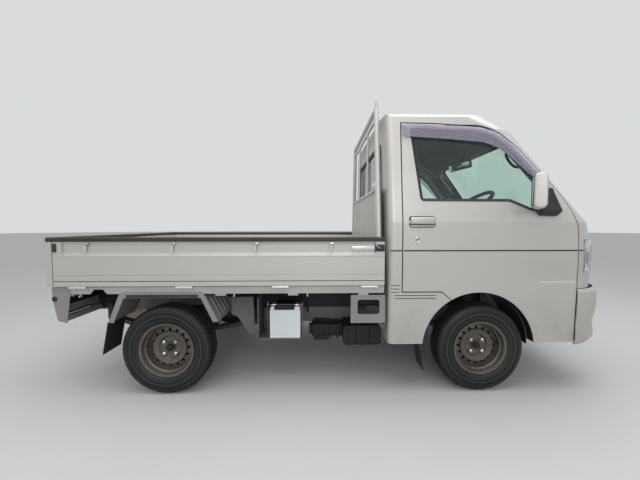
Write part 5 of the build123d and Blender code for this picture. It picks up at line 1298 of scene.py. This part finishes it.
class TRUCK_OT_seats(bpy.types.Operator):
    """Makes the two soft seats with their sewn channels, head restraints and bases, and the seat belts"""

    bl_idname = "truck.seats"
    bl_label = "Seats"
    bl_options = {"REGISTER", "UNDO"}

    def execute(self, context):
        scene = context.scene
        made = []
        for side, name in SIDES:
            for label, (x, z), size, lean, bevel, cap in CUSHIONS:
                place = Matrix.Translation((x, side * SEAT_Y, z)) @ Matrix.Rotation(lean, 4, "Y")
                piece, starts = swollen(f"seat_{label}_{name}", place, size, bevel)
                made.append((name, label, place, cap, piece, starts))
        scene.frame_start, scene.frame_end = 1, CLOTH_FRAMES
        for step in range(1, CLOTH_FRAMES + 1):
            scene.frame_set(step)
        for name, label, place, cap, piece, starts in made:
            baked(piece)
        scene.frame_set(1)
        for name, label, place, cap, piece, starts in made:
            for vert, start in zip(piece.data.vertices, starts):
                move = vert.co - start
                if move.length > cap:
                    vert.co = start + move.normalized() * cap
            sew(piece.data, place, SEAMS[label])
            finer = piece.modifiers.new("Subdivision", "SUBSURF")
            finer.levels = finer.render_levels = 1
            baked(piece)
            piece.data.shade_smooth()
            piece.data.materials.clear()
            piece.data.materials.append(material_for("cloth"))
            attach(piece, "root")
            if label == "cushion":
                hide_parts(f"seat_{name}")
        for side, name in SIDES:
            posts = bmesh.new()
            for y in (side * SEAT_Y - 0.05, side * SEAT_Y + 0.05):
                add_rod(posts, (0.39, y, 1.36), (0.38, y, 1.45), 0.005)
            finish_piece(f"headrest_posts_{name}", posts, "chrome")
            base = bmesh.new()
            add_side_box(base, side, (0.45, 1.01), (0.13, 0.56), (0.8145, 0.83), 0.004)
            for y in (0.125, 0.565):
                near, far = sorted((side * y - 0.004, side * y + 0.012))
                add_box(base, (0.44, near, 0.8145), (0.56, far, 0.9), 0.003)
            finish_piece(f"seat_base_{name}", base, "plastic")
            piping = bmesh.new()
            for y in (side * SEAT_Y - PIPING_Y, side * SEAT_Y + PIPING_Y):
                add_tube(piping, [(x, y, z) for x, z in PIPING], 0.0032)
            finish_piece(f"seat_piping_{name}", piping, "vinyl")
            buckle = bmesh.new()
            head_y = side * 0.096
            add_rod(buckle, (0.52, side * 0.1, 0.83), (0.56, head_y, 0.96), 0.006)
            add_box(buckle, (0.545, head_y - 0.009, 0.945), (0.575, head_y + 0.009, 1.01), 0.004)
            finish_piece(f"belt_buckle_{name}", buckle, "plastic")
            wall = inner_point(surface_tree("cab_shell"), side, 0.006)
            belt = bmesh.new()
            add_strip(belt, BELT_REAR, BELT_FRONT, wall, 0.0018)
            finish_piece(f"belt_{name}", belt, "belt")
            reel = bmesh.new()
            for x, z, half_x, half_z in BELT_REELS:
                out = abs(wall((x, z)).y)
                add_side_box(reel, side, (x - half_x, x + half_x), (out - 0.028, out),
                             (z - half_z, z + half_z), 0.005, 3)
            finish_piece(f"belt_reel_{name}", reel, "plastic")
        return {"FINISHED"}


# Headliner: its middle and lengths; room mirror: its place and turns; sun visors: place and tilt
LINER_X, LINER_LONG, LINER_WIDE = 0.73, 0.77, 1.12
ROOM_MIRROR = Matrix.Translation((1.04, -0.03, 1.508)) @ (
    Matrix.Rotation(math.radians(16), 4, "Z") @ Matrix.Rotation(math.radians(-12), 4, "Y"))
SUN_VISOR = Matrix.Translation((0.985, 0, 1.64)) @ Matrix.Rotation(math.radians(14), 4, "Y")
# Grab handle inside a front pillar: its points on the left side
GRAB_HANDLE = ((1.104, 0.575, 1.508), (1.066, 0.562, 1.488), (1.105, 0.556, 1.422), (1.148, 0.558, 1.384),
               (1.198, 0.57, 1.396))


class TRUCK_OT_roof_trim(bpy.types.Operator):
    """Makes the headliner, room mirror, sun visors and grab handles"""

    bl_idname = "truck.roof_trim"
    bl_label = "Roof trim"
    bl_options = {"REGISTER", "UNDO"}

    def execute(self, context):
        roof = surface_tree("cab_roof", "cab_shell")
        lining = bmesh.new()
        made = bmesh.ops.create_grid(lining, x_segments=24, y_segments=20, size=0.5)
        for vert in made["verts"]:
            x, y = LINER_X + vert.co.x * LINER_LONG, vert.co.y * LINER_WIDE
            vert.co = dropped(roof, (x, y, 1.2), (0, 0, 1), 0.008, (x, y, 1.66))
        thicken(lining, lining.faces[:], 0.004)
        finish_piece("headliner", lining, "headliner", crease=60)
        mirror, face = bmesh.new(), bmesh.new()
        add_box(mirror, (-0.012, -0.12, -0.034), (0.012, 0.12, 0.034), 0.011, 3)
        add_tube(mirror, [(0.008, 0.0, 0.01), (0.034, 0.0, 0.04), (0.058, 0.0, 0.076)], 0.006)
        add_box(face, (-0.0135, -0.112, -0.027), (-0.012, 0.112, 0.027), 0.0006)
        for form in (mirror, face):
            bmesh.ops.transform(form, verts=form.verts, matrix=ROOM_MIRROR)
        finish_piece("room_mirror", mirror, "plastic")
        finish_piece("room_mirror_face", face, "mirror")
        for side, name in SIDES:
            shade = bmesh.new()
            add_side_box(shade, side, (-0.075, 0.075), (0.13, 0.5), (-0.006, 0.006), 0.005, 3)
            bmesh.ops.transform(shade, verts=shade.verts, matrix=SUN_VISOR)
            finish_piece(f"sun_visor_{name}", shade, "headliner")
            grab = bmesh.new()
            add_tube(grab, [(x, side * y, z) for x, y, z in GRAB_HANDLE], 0.0085)
            finish_piece(f"grab_handle_{name}", grab, "plastic")
        return {"FINISHED"}


# Instruments: middle of the steering column across the cab, where the dials stand and their radii
STEERING_Y = -SEAT_Y
DIAL_X = 1.2585
DIALS = ((-0.395, 0.026), (-0.32, 0.02), (-0.262, 0.018))
VENT_YS = (-0.56, -0.12, 0.12, 0.56)
VENT_Z, VENT_HALF_Y, VENT_HALF_Z = 1.0, 0.052, 0.028
PANEL_Z = 0.92
KNOB_YS, KNOB_Z = (-0.072, 0.0, 0.072), 0.888
BUTTON_YS = (-0.088, -0.052, 0.052, 0.088)
GLOVE_BOX = ((0.19, 0.85), (0.5, 0.85), (0.5, 0.945), (0.19, 0.945))
# Steering column: middle of the wheel's hub, and direction down the column
HUB = Vector((0.9475, STEERING_Y, 1.15))
COLUMN_TILT = math.radians(55.0)
COLUMN_AXIS = Vector((math.cos(COLUMN_TILT), 0, -math.sin(COLUMN_TILT)))


class TRUCK_OT_dash_trim(bpy.types.Operator):
    """Makes the instruments, vents, heater panel and glove box lid, and what is on the steering column"""

    bl_idname = "truck.dash_trim"
    bl_label = "Dash trim"
    bl_options = {"REGISTER", "UNDO"}

    def execute(self, context):
        dash = surface_tree("dashboard")

        def front(y, z, lift=0.0):
            return dropped(dash, (0.9, y, z), (1, 0, 0), lift, (1.27, y, z))

        crown = dropped(dash, (1.345, STEERING_Y, 1.4), (0, 0, -1), 0.0, (1.345, STEERING_Y, 1.05)).z
        hood = bmesh.new()
        add_box(hood, (1.262, -0.5, crown - 0.035), (1.4, -0.19, crown + 0.062), 0.03, 5)
        finish_piece("binnacle", hood, "grey plastic", crease=50)
        dial_plate = bmesh.new()
        add_box(dial_plate, (1.259, -0.478, crown - 0.014), (1.2625, -0.212, crown + 0.048), 0.0012)
        finish_piece("dial_plate", dial_plate, "plastic")
        rims = bmesh.new()
        dial_z = crown + 0.017
        for y, radius in DIALS:
            circle = [(DIAL_X, y + radius * math.cos(step * math.tau / 24),
                       dial_z + radius * math.sin(step * math.tau / 24)) for step in range(25)]
            add_tube(rims, circle, 0.0014, smooth=False)
            add_rod(rims, (DIAL_X + 0.0003, y, dial_z), (DIAL_X - 0.001, y, dial_z), 0.003, sides=14)
            needle_x = DIAL_X - 0.0003
            add_rod(rims, (needle_x, y, dial_z), (needle_x, y - radius * 0.6, dial_z - 0.012), 0.0009,
                    sides=8)
        finish_piece("dial_rims", rims, "pale plastic")
        vents, slats = bmesh.new(), bmesh.new()
        for y in VENT_YS:
            x = front(y, VENT_Z, 0.001).x
            add_box(vents, (x - 0.006, y - VENT_HALF_Y, VENT_Z - VENT_HALF_Z),
                    (x + 0.004, y + VENT_HALF_Y, VENT_Z + VENT_HALF_Z), 0.004)
            for z in [0.982 + row * 0.012 for row in range(4)]:
                add_box(slats, (x - 0.0095, y - 0.046, z), (x - 0.0055, y + 0.046, z + 0.003))
            add_box(slats, (x - 0.0105, y - 0.002, 0.978), (x - 0.0055, y + 0.002, 1.022))
        finish_piece("vent_frames", vents, "plastic")
        finish_piece("vent_slats", slats, "grey plastic")
        panel = bmesh.new()
        x = front(0.0, PANEL_Z).x
        add_box(panel, (x - 0.007, -0.105, PANEL_Z - 0.052), (x + 0.006, 0.105, PANEL_Z + 0.036), 0.004)
        finish_piece("centre_panel", panel, "plastic")
        knobs = bmesh.new()
        for y in KNOB_YS:
            add_rod(knobs, (x - 0.007, y, KNOB_Z), (x - 0.024, y, KNOB_Z), 0.015, tip=0.013)
            add_box(knobs, (x - 0.0262, y - 0.0015, KNOB_Z - 0.001), (x - 0.0238, y + 0.0015, KNOB_Z + 0.014))
        for y in BUTTON_YS:
            add_box(knobs, (x - 0.0105, y - 0.014, 0.914), (x - 0.0065, y + 0.014, 0.946), 0.002)
        finish_piece("centre_knobs", knobs, "grey plastic")
        box_lid = bmesh.new()
        add_patch(box_lid, rounded(GLOVE_BOX, 0.012), lambda point: front(point[0], point[1], 0.004), 0.004)
        catch_x = front(0.345, 0.925, 0.008).x
        add_box(box_lid, (catch_x - 0.005, 0.325, 0.918), (catch_x + 0.004, 0.365, 0.932), 0.003)
        finish_piece("glove_box_lid", box_lid, "grey plastic")
        stalks = bmesh.new()
        for turn in (1, -1):
            add_tube(stalks, [(1.02, STEERING_Y, 1.098), (1.014, STEERING_Y + turn * 0.06, 1.11),
                              (0.996, STEERING_Y + turn * 0.165, 1.128)], 0.0062)
            add_rod(stalks, (0.999, STEERING_Y + turn * 0.15, 1.1255),
                    (0.993, STEERING_Y + turn * 0.182, 1.131), 0.0088)
        finish_piece("column_stalks", stalks, "plastic")
        shroud = bmesh.new()
        add_rod(shroud, HUB + COLUMN_AXIS * 0.05, HUB + COLUMN_AXIS * 0.185, 0.034, sides=28, tip=0.042)
        finish_piece("column_shroud", shroud, "plastic", bevel=0.004)
        pad = bmesh.new()
        add_rod(pad, HUB - COLUMN_AXIS * 0.01, HUB + COLUMN_AXIS * 0.016, 0.046, sides=32, tip=0.062)
        finish_piece("horn_pad", pad, "plastic", "steering_wheel", bevel=0.006)
        return {"FINISHED"}


# Pedals: place across the cab, height, width and height of the pad; and where gear lever and hand brake stand
PEDALS = ((-0.245, 0.565, 0.055, 0.05), (-0.345, 0.565, 0.075, 0.048), (-0.455, 0.54, 0.05, 0.1))
GEAR_PLACE = (0.96, -0.02)
BRAKE_PLACE = (0.62, 0.05)


class TRUCK_OT_controls(bpy.types.Operator):
    """Makes the pedals, the gear lever and the hand brake"""

    bl_idname = "truck.controls"
    bl_label = "Controls"
    bl_options = {"REGISTER", "UNDO"}

    def execute(self, context):
        pedals = bmesh.new()
        for y, z, wide, tall in PEDALS:
            add_box(pedals, (1.225, y - wide / 2, z - tall / 2), (1.237, y + wide / 2, z + tall / 2), 0.004)
            for height in [z - tall / 4 + row * tall / 4 for row in range(3)]:
                add_box(pedals, (1.2225, y - wide / 2 + 0.005, height - 0.003),
                        (1.2255, y + wide / 2 - 0.005, height + 0.003))
            add_tube(pedals, [(1.237, y, z), (1.3, y, z + 0.06), (1.35, y, z + 0.19), (1.36, y, 0.84)],
                     0.0065)
        finish_piece("pedals", pedals, "rubber", slot="dark_plastic")
        floor = surface_tree("cab_floor")
        foot, start = [dropped(floor, (x, y, 1.3), (0, 0, -1), 0.0, (x, y, 0.8))
                       for x, y in (GEAR_PLACE, BRAKE_PLACE)]
        gaiter = bmesh.new()
        add_rod(gaiter, foot, foot + Vector((0.0, 0, 0.03)), 0.055, sides=28, tip=0.034)
        add_rod(gaiter, foot + Vector((0.0, 0, 0.028)), foot + Vector((0.004, 0, 0.065)), 0.032, sides=28,
                tip=0.014)
        finish_piece("gear_gaiter", gaiter, "rubber", crease=50)
        stick = bmesh.new()
        add_tube(stick, [foot + Vector((0.003, 0, 0.05)), foot + Vector((0.015, 0, 0.16)),
                         foot + Vector((-0.012, 0, 0.25))], 0.0065)
        finish_piece("gear_stick", stick, "plastic", slot="chassis_steel")
        knob = bmesh.new()
        add_ball(knob, foot + Vector((-0.014, 0, 0.268)), 0.024, (1, 1, 1.1))
        finish_piece("gear_knob", knob, "plastic")
        brake = bmesh.new()
        add_box(brake, (start.x - 0.06, 0.032, start.z), (start.x + 0.08, 0.068, start.z + 0.05), 0.01, 3)
        add_tube(brake, [start + Vector((-0.02, 0, 0.035)), start + Vector((0.12, 0, 0.062)),
                         start + Vector((0.29, 0, 0.086))], 0.009)
        add_tube(brake, [start + Vector((0.18, 0, 0.072)), start + Vector((0.24, 0, 0.082)),
                         start + Vector((0.3, 0, 0.09))], 0.014)
        finish_piece("hand_brake", brake, "plastic")
        return {"FINISHED"}


# Front coil springs: radius, distance from the middle, lowest point, rise, turns and steps of a turn
COIL_RADIUS, COIL_Y, COIL_LOW, COIL_RISE = 0.0415, 0.528, 0.486, 0.082
COIL_TURNS, COIL_STEPS = 4.5, 16
# Rear springs: place of the four clamp bolts; dampers: foot, waist and top, from the rear axle
LEAF_Y, LEAF_LOW = 0.462, 0.245
DAMPER = ((0.085, 0.43, 0.262), (0.165, 0.424, 0.42), (0.205, 0.42, 0.5))
TANK_STRAP_XS = (-0.36, -0.11)
FUEL_CAP = ((0.0, 0.03), (0.024, 0.029), (0.0275, 0.026), (0.0275, 0.004), (0.023, 0.0), (0.0, 0.0))


class TRUCK_OT_running_gear(bpy.types.Operator):
    """Makes the coil springs, spring bolts and dampers, and the straps and cap of the fuel tank"""

    bl_idname = "truck.running_gear"
    bl_label = "Running gear"
    bl_options = {"REGISTER", "UNDO"}

    def execute(self, context):
        for side, name in SIDES:
            coil = bmesh.new()
            points = []
            for step in range(int(COIL_TURNS * COIL_STEPS) + 1):
                angle = step / COIL_STEPS * math.tau
                points.append((FRONT_AXLE + COIL_RADIUS * math.cos(angle),
                               side * COIL_Y + COIL_RADIUS * math.sin(angle),
                               COIL_LOW + COIL_RISE * step / (COIL_TURNS * COIL_STEPS)))
            add_tube(coil, points, 0.0055, smooth=False)
            finish_piece(f"coil_{name}", coil, "chassis", f"knuckle_{name}")
            bolts = bmesh.new()
            for along in (-0.036, 0.036):
                for across in (-0.02, 0.02):
                    place = Vector((REAR_AXLE + along, side * LEAF_Y + across, LEAF_LOW))
                    add_rod(bolts, place, place + Vector((0, 0, 0.095)), 0.006, sides=14)
                    add_rod(bolts, place, place + Vector((0, 0, 0.01)), 0.0105, sides=6)
            finish_piece(f"spring_bolts_{name}", bolts, "exhaust")
            damper = bmesh.new()
            foot, waist, top = [(REAR_AXLE + x, side * y, z) for x, y, z in DAMPER]
            add_rod(damper, foot, waist, 0.021, sides=24)
            add_rod(damper, waist, top, 0.0075, sides=16)
            finish_piece(f"damper_{name}", damper, "chassis")
        straps = bmesh.new()
        for x in TANK_STRAP_XS:
            for y0, y1, z0, z1 in ((0.398, 0.69, 0.444, 0.449), (0.687, 0.691, 0.266, 0.449),
                                   (0.398, 0.69, 0.264, 0.268)):
                add_box(straps, (x - 0.014, y0, z0), (x + 0.014, y1, z1), 0.001)
            add_rod(straps, (x, 0.689, 0.3), (x, 0.697, 0.3), 0.008, sides=6)
        finish_piece("tank_straps", straps, "primer")
        cap = bmesh.new()
        add_turned(cap, FUEL_CAP, (-0.1, 0.688, 0.405), 1, steps=36)
        finish_piece("fuel_cap", cap, "plastic")
        return {"FINISHED"}


# Splash panel before a rear wheel, in X and Z; beads pressed into a rear fender: places across, heights
SPLASH_PANEL = ((-0.7, 0.545), (-0.5565, 0.545), (-0.5461, 0.3), (-0.5862, 0.3), (-0.6317, 0.371),
                (-0.6578, 0.412), (-0.7, 0.432))
SPLASH_Y = 0.52
BEAD_YS = (0.655, 0.6, 0.545, 0.49)
BEAD_ZS = (0.575, 0.545, 0.515, 0.485, 0.46)
# Dark sheets of painted shade inside the frame and behind the wheel arches: spans of X, of distance from the
# middle and of Z
FRAME_SHADE_SHEETS = (((-1.692, -1.49), (0.4245, 0.4275), (0.455, 0.6)),
                ((-0.575, 0.1), (0.4035, 0.4055), (0.445, 0.598)),
                ((-1.627, -1.625), (0.43, 0.69), (0.545, 0.598)))
ARCH_SHADE_SHEETS = (((0.94, 1.05), (0.358, 0.362), (0.45, 0.535)),
               ((-1.0, -0.925), (0.415, 0.418), (0.415, 0.465)))
# Front wheel arch: its middle in X and Z, and radius, width, inner end, arc and thickness of its two linings,
# dark sheets of painted shade
ARCH_X, ARCH_Z = FRONT_AXLE - 0.028, 0.28
HOUSE_LINING = (0.335, 0.218, 0.455, math.pi * 0.98, 0.0015)
DOOR_LINING = (0.3372, 0.0538, 0.6802, math.radians(116), 0.001)
DOOR_LINING_FOOT = 0.317


def arch_lining(side, lining, foot=None):
    """Dark sheet of painted shade turned round a front wheel arch, cut off below a height where foot is
    given.
    """
    radius, width, start, arc, thick = lining
    form = bmesh.new()
    add_turned(form, ((radius, 0.0), (radius, width)), (ARCH_X, side * start, ARCH_Z), side, steps=40,
               turn=-arc)
    if foot is not None:
        bmesh.ops.bisect_plane(form, geom=form.verts[:] + form.edges[:] + form.faces[:],
                               plane_co=(0, 0, foot), plane_no=(0, 0, 1), clear_inner=True)
    thicken(form, form.faces[:], thick)
    return form


class TRUCK_OT_liners(bpy.types.Operator):
    """Makes the splash panels, fender beads and lips, and the dark sheets of painted shade in the frame and
    wheel arches
    """

    bl_idname = "truck.liners"
    bl_label = "Liners"
    bl_options = {"REGISTER", "UNDO"}

    def execute(self, context):
        tree = surface_tree("rear_fenders")
        for side, name in SIDES:
            panel = bmesh.new()
            add_patch(panel, SPLASH_PANEL, lambda point, y=side * SPLASH_Y: (point[0], y, point[1]), 0.003)
            finish_piece(f"splash_panel_{name}", panel, "frame")
            beads = bmesh.new()
            for y in [side * place for place in BEAD_YS]:
                add_tube(beads, [dropped(tree, (-0.5, y, z), (-1, 0, 0), 0.001, (-0.76, y, z))
                                 for z in BEAD_ZS], 0.0045)
            finish_piece(f"fender_beads_{name}", beads, "primer")
            lip = bmesh.new()
            add_side_box(lip, side, (-1.256, -0.836), (0.7198, 0.7212), (0.5915, 0.609))
            finish_piece(f"fender_lip_{name}", lip, "chassis", slot="grey_steel")
            # Black sheets where there is only shade: painted shade inside the frame and behind the arches
            for part, sheets in (("frame_liner", FRAME_SHADE_SHEETS), ("arch_blind", ARCH_SHADE_SHEETS)):
                form = bmesh.new()
                for xs, ys, zs in sheets:
                    add_side_box(form, side, xs, ys, zs)
                finish_piece(f"{part}_{name}", form, "case", slot="chassis_steel")
            # Dark linings inside the front arch and on the door's arch edge: painted shade
            finish_piece(f"arch_liner_{name}", arch_lining(side, HOUSE_LINING), "case", slot="chassis_steel")
            finish_piece(f"door_arch_edge_{name}", arch_lining(side, DOOR_LINING, DOOR_LINING_FOOT), "case",
                         f"door_{name}")
            plug = bmesh.new()
            add_rod(plug, (-1.666, side * 0.7195, 0.586), (-1.666, side * 0.7235, 0.586), 0.015, sides=28)
            finish_piece(f"bracket_plug_{name}", plug, "rubber")
        return {"FINISHED"}


# Battery: its rear end, the two faces of its ribs, the pitch of caps and of ribs, and its two posts
BATTERY_REAR = -0.4355
BATTERY_FACE = (-0.5985, -0.5955)
CAP_PITCH, RIB_PITCH = 0.032, 0.012
POST_XS, POST_Y = (-0.412, -0.267), -0.57
# Battery leads from the posts to the frame, and the two rods of the clamp
LEADS = (((-0.412, -0.565, 0.512), (-0.44, -0.54, 0.53), (-0.47, -0.48, 0.49), (-0.48, -0.43, 0.44),
          (-0.48, -0.4, 0.42)),
         ((-0.267, -0.565, 0.512), (-0.235, -0.54, 0.53), (-0.205, -0.48, 0.48), (-0.2, -0.43, 0.43),
          (-0.2, -0.4, 0.41)))
CLAMP_XS, CLAMP_Y = (-0.452, -0.23), -0.575
DUCT_RIB_XS = (-0.135, -0.09, -0.045, 0.0)


class TRUCK_OT_battery_trim(bpy.types.Operator):
    """Makes the air duct, and the caps, posts, leads, clamp, cover and ribs of the battery"""

    bl_idname = "truck.battery_trim"
    bl_label = "Battery trim"
    bl_options = {"REGISTER", "UNDO"}

    def execute(self, context):
        duct = bmesh.new()
        add_box(duct, (-0.17, -0.545, 0.288), (0.035, -0.43, 0.368), 0.01, 3)
        for x in DUCT_RIB_XS:
            add_box(duct, (x - 0.009, -0.56, 0.28), (x + 0.009, -0.425, 0.372), 0.006)
        finish_piece("air_duct", duct, "case")
        caps = bmesh.new()
        for x in [BATTERY_REAR + CAP_PITCH / 2 + CAP_PITCH * cell for cell in range(6)]:
            add_rod(caps, (x, -0.5, 0.497), (x, -0.5, 0.503), 0.0105, sides=24)
        finish_piece("battery_caps", caps, "case", slot="battery_case")
        posts = bmesh.new()
        for x in POST_XS:
            add_rod(posts, (x, POST_Y, 0.497), (x, POST_Y, 0.515), 0.009, sides=20, tip=0.008)
            add_box(posts, (x - 0.016, POST_Y - 0.016, 0.503), (x + 0.016, POST_Y + 0.018, 0.513), 0.003)
        finish_piece("battery_posts", posts, "nut")
        leads = bmesh.new()
        for points in LEADS:
            add_tube(leads, points, 0.0062)
        finish_piece("battery_leads", leads, "rubber", slot="dark_plastic")
        clamp = bmesh.new()
        for x in CLAMP_XS:
            add_rod(clamp, (x, CLAMP_Y, 0.3), (x, CLAMP_Y, 0.53), 0.0032, sides=12)
            add_rod(clamp, (x, CLAMP_Y, 0.512), (x, CLAMP_Y, 0.52), 0.0075, sides=6)
        add_box(clamp, (CLAMP_XS[0] - 0.006, CLAMP_Y - 0.007, 0.506),
                (CLAMP_XS[1] + 0.006, CLAMP_Y + 0.007, 0.5115), 0.001)
        finish_piece("battery_clamp", clamp, "exhaust", slot="grey_steel")
        cover = bmesh.new()
        add_box(cover, (-0.408, -0.5995, 0.479), (-0.279, -0.455, 0.5075), 0.004)
        finish_piece("battery_cover", cover, "case")
        ribs = bmesh.new()
        outer, inner = BATTERY_FACE
        for x in [BATTERY_REAR + RIB_PITCH * rib for rib in range(1, 16)]:
            add_box(ribs, (x - 0.0018, outer, 0.303), (x + 0.0018, inner, 0.47))
        add_box(ribs, (BATTERY_REAR, outer, 0.4715), (BATTERY_REAR + 0.192, inner, 0.477), 0.001)
        finish_piece("battery_ribs", ribs, "battery")
        return {"FINISHED"}


# Camera of the reference view: its place in metres, pitch and turn in radians, lens and sensor in millimetres
EYE = (-0.1299, -2.4385, 1.012)
EYE_PITCH, EYE_TURN = 0.0472, -0.0196
LENS, SENSOR, SHIFT = 16.425, 36.0, -0.0055
# Studio: radius of the floor, its two greys, and colour and strength of the light from all round
FLOOR_RADIUS, FLOOR_GREYS = 60.0, (0.5, 0.47)
WORLD_COLOUR, WORLD_STRENGTH = (0.93, 0.95, 0.97, 1.0), 0.75
# Soft lamps: name, place, the point it is aimed at, width, depth, and share of the lamps' power
LAMPS = (("Roof light", (0.3, -0.8, 4.2), (0.0, 0.0, 0.6), 6.0, 3.0, 1.0),
         ("Side light", (0.0, -5.0, 2.6), (0.0, 0.0, 0.8), 3.0, 2.2, 0.4))


def floor_finish():
    """Plain pale floor with slow grey clouds."""
    material, tree, shader, place = new_material("Studio floor")
    first, second = [(grey, grey, grey) for grey in FLOOR_GREYS]
    clouds = mix_node(tree, noise_node(tree, place, 1.3, 3.0), first, second)
    tree.links.new(clouds, shader.inputs["Base Color"])
    shader.inputs["Roughness"].default_value = 0.6
    return material


class TRUCK_OT_stage(bpy.types.Operator):
    """Makes the studio: a pale floor, soft light and the camera of the reference view"""

    bl_idname = "truck.stage"
    bl_label = "Studio"
    bl_options = {"REGISTER", "UNDO"}

    def execute(self, context):
        scene = context.scene
        form = bmesh.new()
        bmesh.ops.create_circle(form, cap_ends=True, segments=64, radius=FLOOR_RADIUS)
        mesh = bpy.data.meshes.new("studio_floor")
        form.to_mesh(mesh)
        form.free()
        mesh.materials.append(floor_finish())
        floor = bpy.data.objects.new("studio_floor", mesh)
        scene.collection.objects.link(floor)
        world = bpy.data.worlds.new("Studio")
        world.use_nodes = True
        light = world.node_tree.nodes["Background"]
        light.inputs["Color"].default_value = WORLD_COLOUR
        light.inputs["Strength"].default_value = WORLD_STRENGTH
        scene.world = world
        for name, spot, aim, width, depth, share in LAMPS:
            lamp = bpy.data.lights.new(name, "AREA")
            lamp.shape = "RECTANGLE"
            lamp.size, lamp.size_y = width, depth
            lamp.energy = scene.truck_sizes.lamp_power * share
            holder = bpy.data.objects.new(name, lamp)
            holder.location = spot
            holder.rotation_euler = (Vector(aim) - Vector(spot)).to_track_quat("-Z", "Y").to_euler()
            scene.collection.objects.link(holder)
        camera = bpy.data.cameras.new("Camera")
        camera.lens = LENS
        camera.sensor_width = SENSOR
        camera.shift_x = SHIFT
        camera.clip_start = 0.05
        eye = bpy.data.objects.new("Camera", camera)
        eye.location = EYE
        eye.rotation_euler = (math.pi / 2 - EYE_PITCH, 0.0, EYE_TURN)
        scene.collection.objects.link(eye)
        scene.camera = eye
        scene.view_settings.view_transform = "Standard"
        return {"FINISHED"}


class TRUCK_PT_panel(bpy.types.Panel):
    """Lists the truck's operators and settings."""

    bl_label = "Kei truck"
    bl_idname = "TRUCK_PT_panel"
    bl_space_type = "VIEW_3D"
    bl_region_type = "UI"
    bl_category = "Kei truck"

    def draw(self, context):
        layout = self.layout
        for name in ("truck_colours", "truck_sizes"):
            settings = getattr(context.scene, name)
            column = layout.column(align=True)
            for entry in settings.bl_rna.properties:
                if entry.identifier not in ("rna_type", "name"):
                    column.prop(settings, entry.identifier)
        for operator in OPERATORS:
            layout.operator(operator.bl_idname)


OPERATORS = (TRUCK_OT_finishes, TRUCK_OT_tyres, TRUCK_OT_wheel_trim, TRUCK_OT_window_trim, TRUCK_OT_door_trim,
             TRUCK_OT_mirrors, TRUCK_OT_front_trim, TRUCK_OT_rear_trim, TRUCK_OT_bed_trim, TRUCK_OT_seats,
             TRUCK_OT_roof_trim, TRUCK_OT_dash_trim, TRUCK_OT_controls, TRUCK_OT_running_gear,
             TRUCK_OT_liners, TRUCK_OT_battery_trim, TRUCK_OT_stage)
CLASSES = (TruckColours, TruckSizes, *OPERATORS, TRUCK_PT_panel)


def register():
    for cls in CLASSES:
        bpy.utils.register_class(cls)
    bpy.types.Scene.truck_colours = PointerProperty(type=TruckColours)
    bpy.types.Scene.truck_sizes = PointerProperty(type=TruckSizes)


def unregister():
    del bpy.types.Scene.truck_colours
    del bpy.types.Scene.truck_sizes
    for cls in reversed(CLASSES):
        bpy.utils.unregister_class(cls)


def main():
    register()
    for operator in OPERATORS:
        section, name = operator.bl_idname.split(".")
        getattr(getattr(bpy.ops, section), name)()
    bpy.context.view_layer.update()


if __name__ == "__main__":
    main()
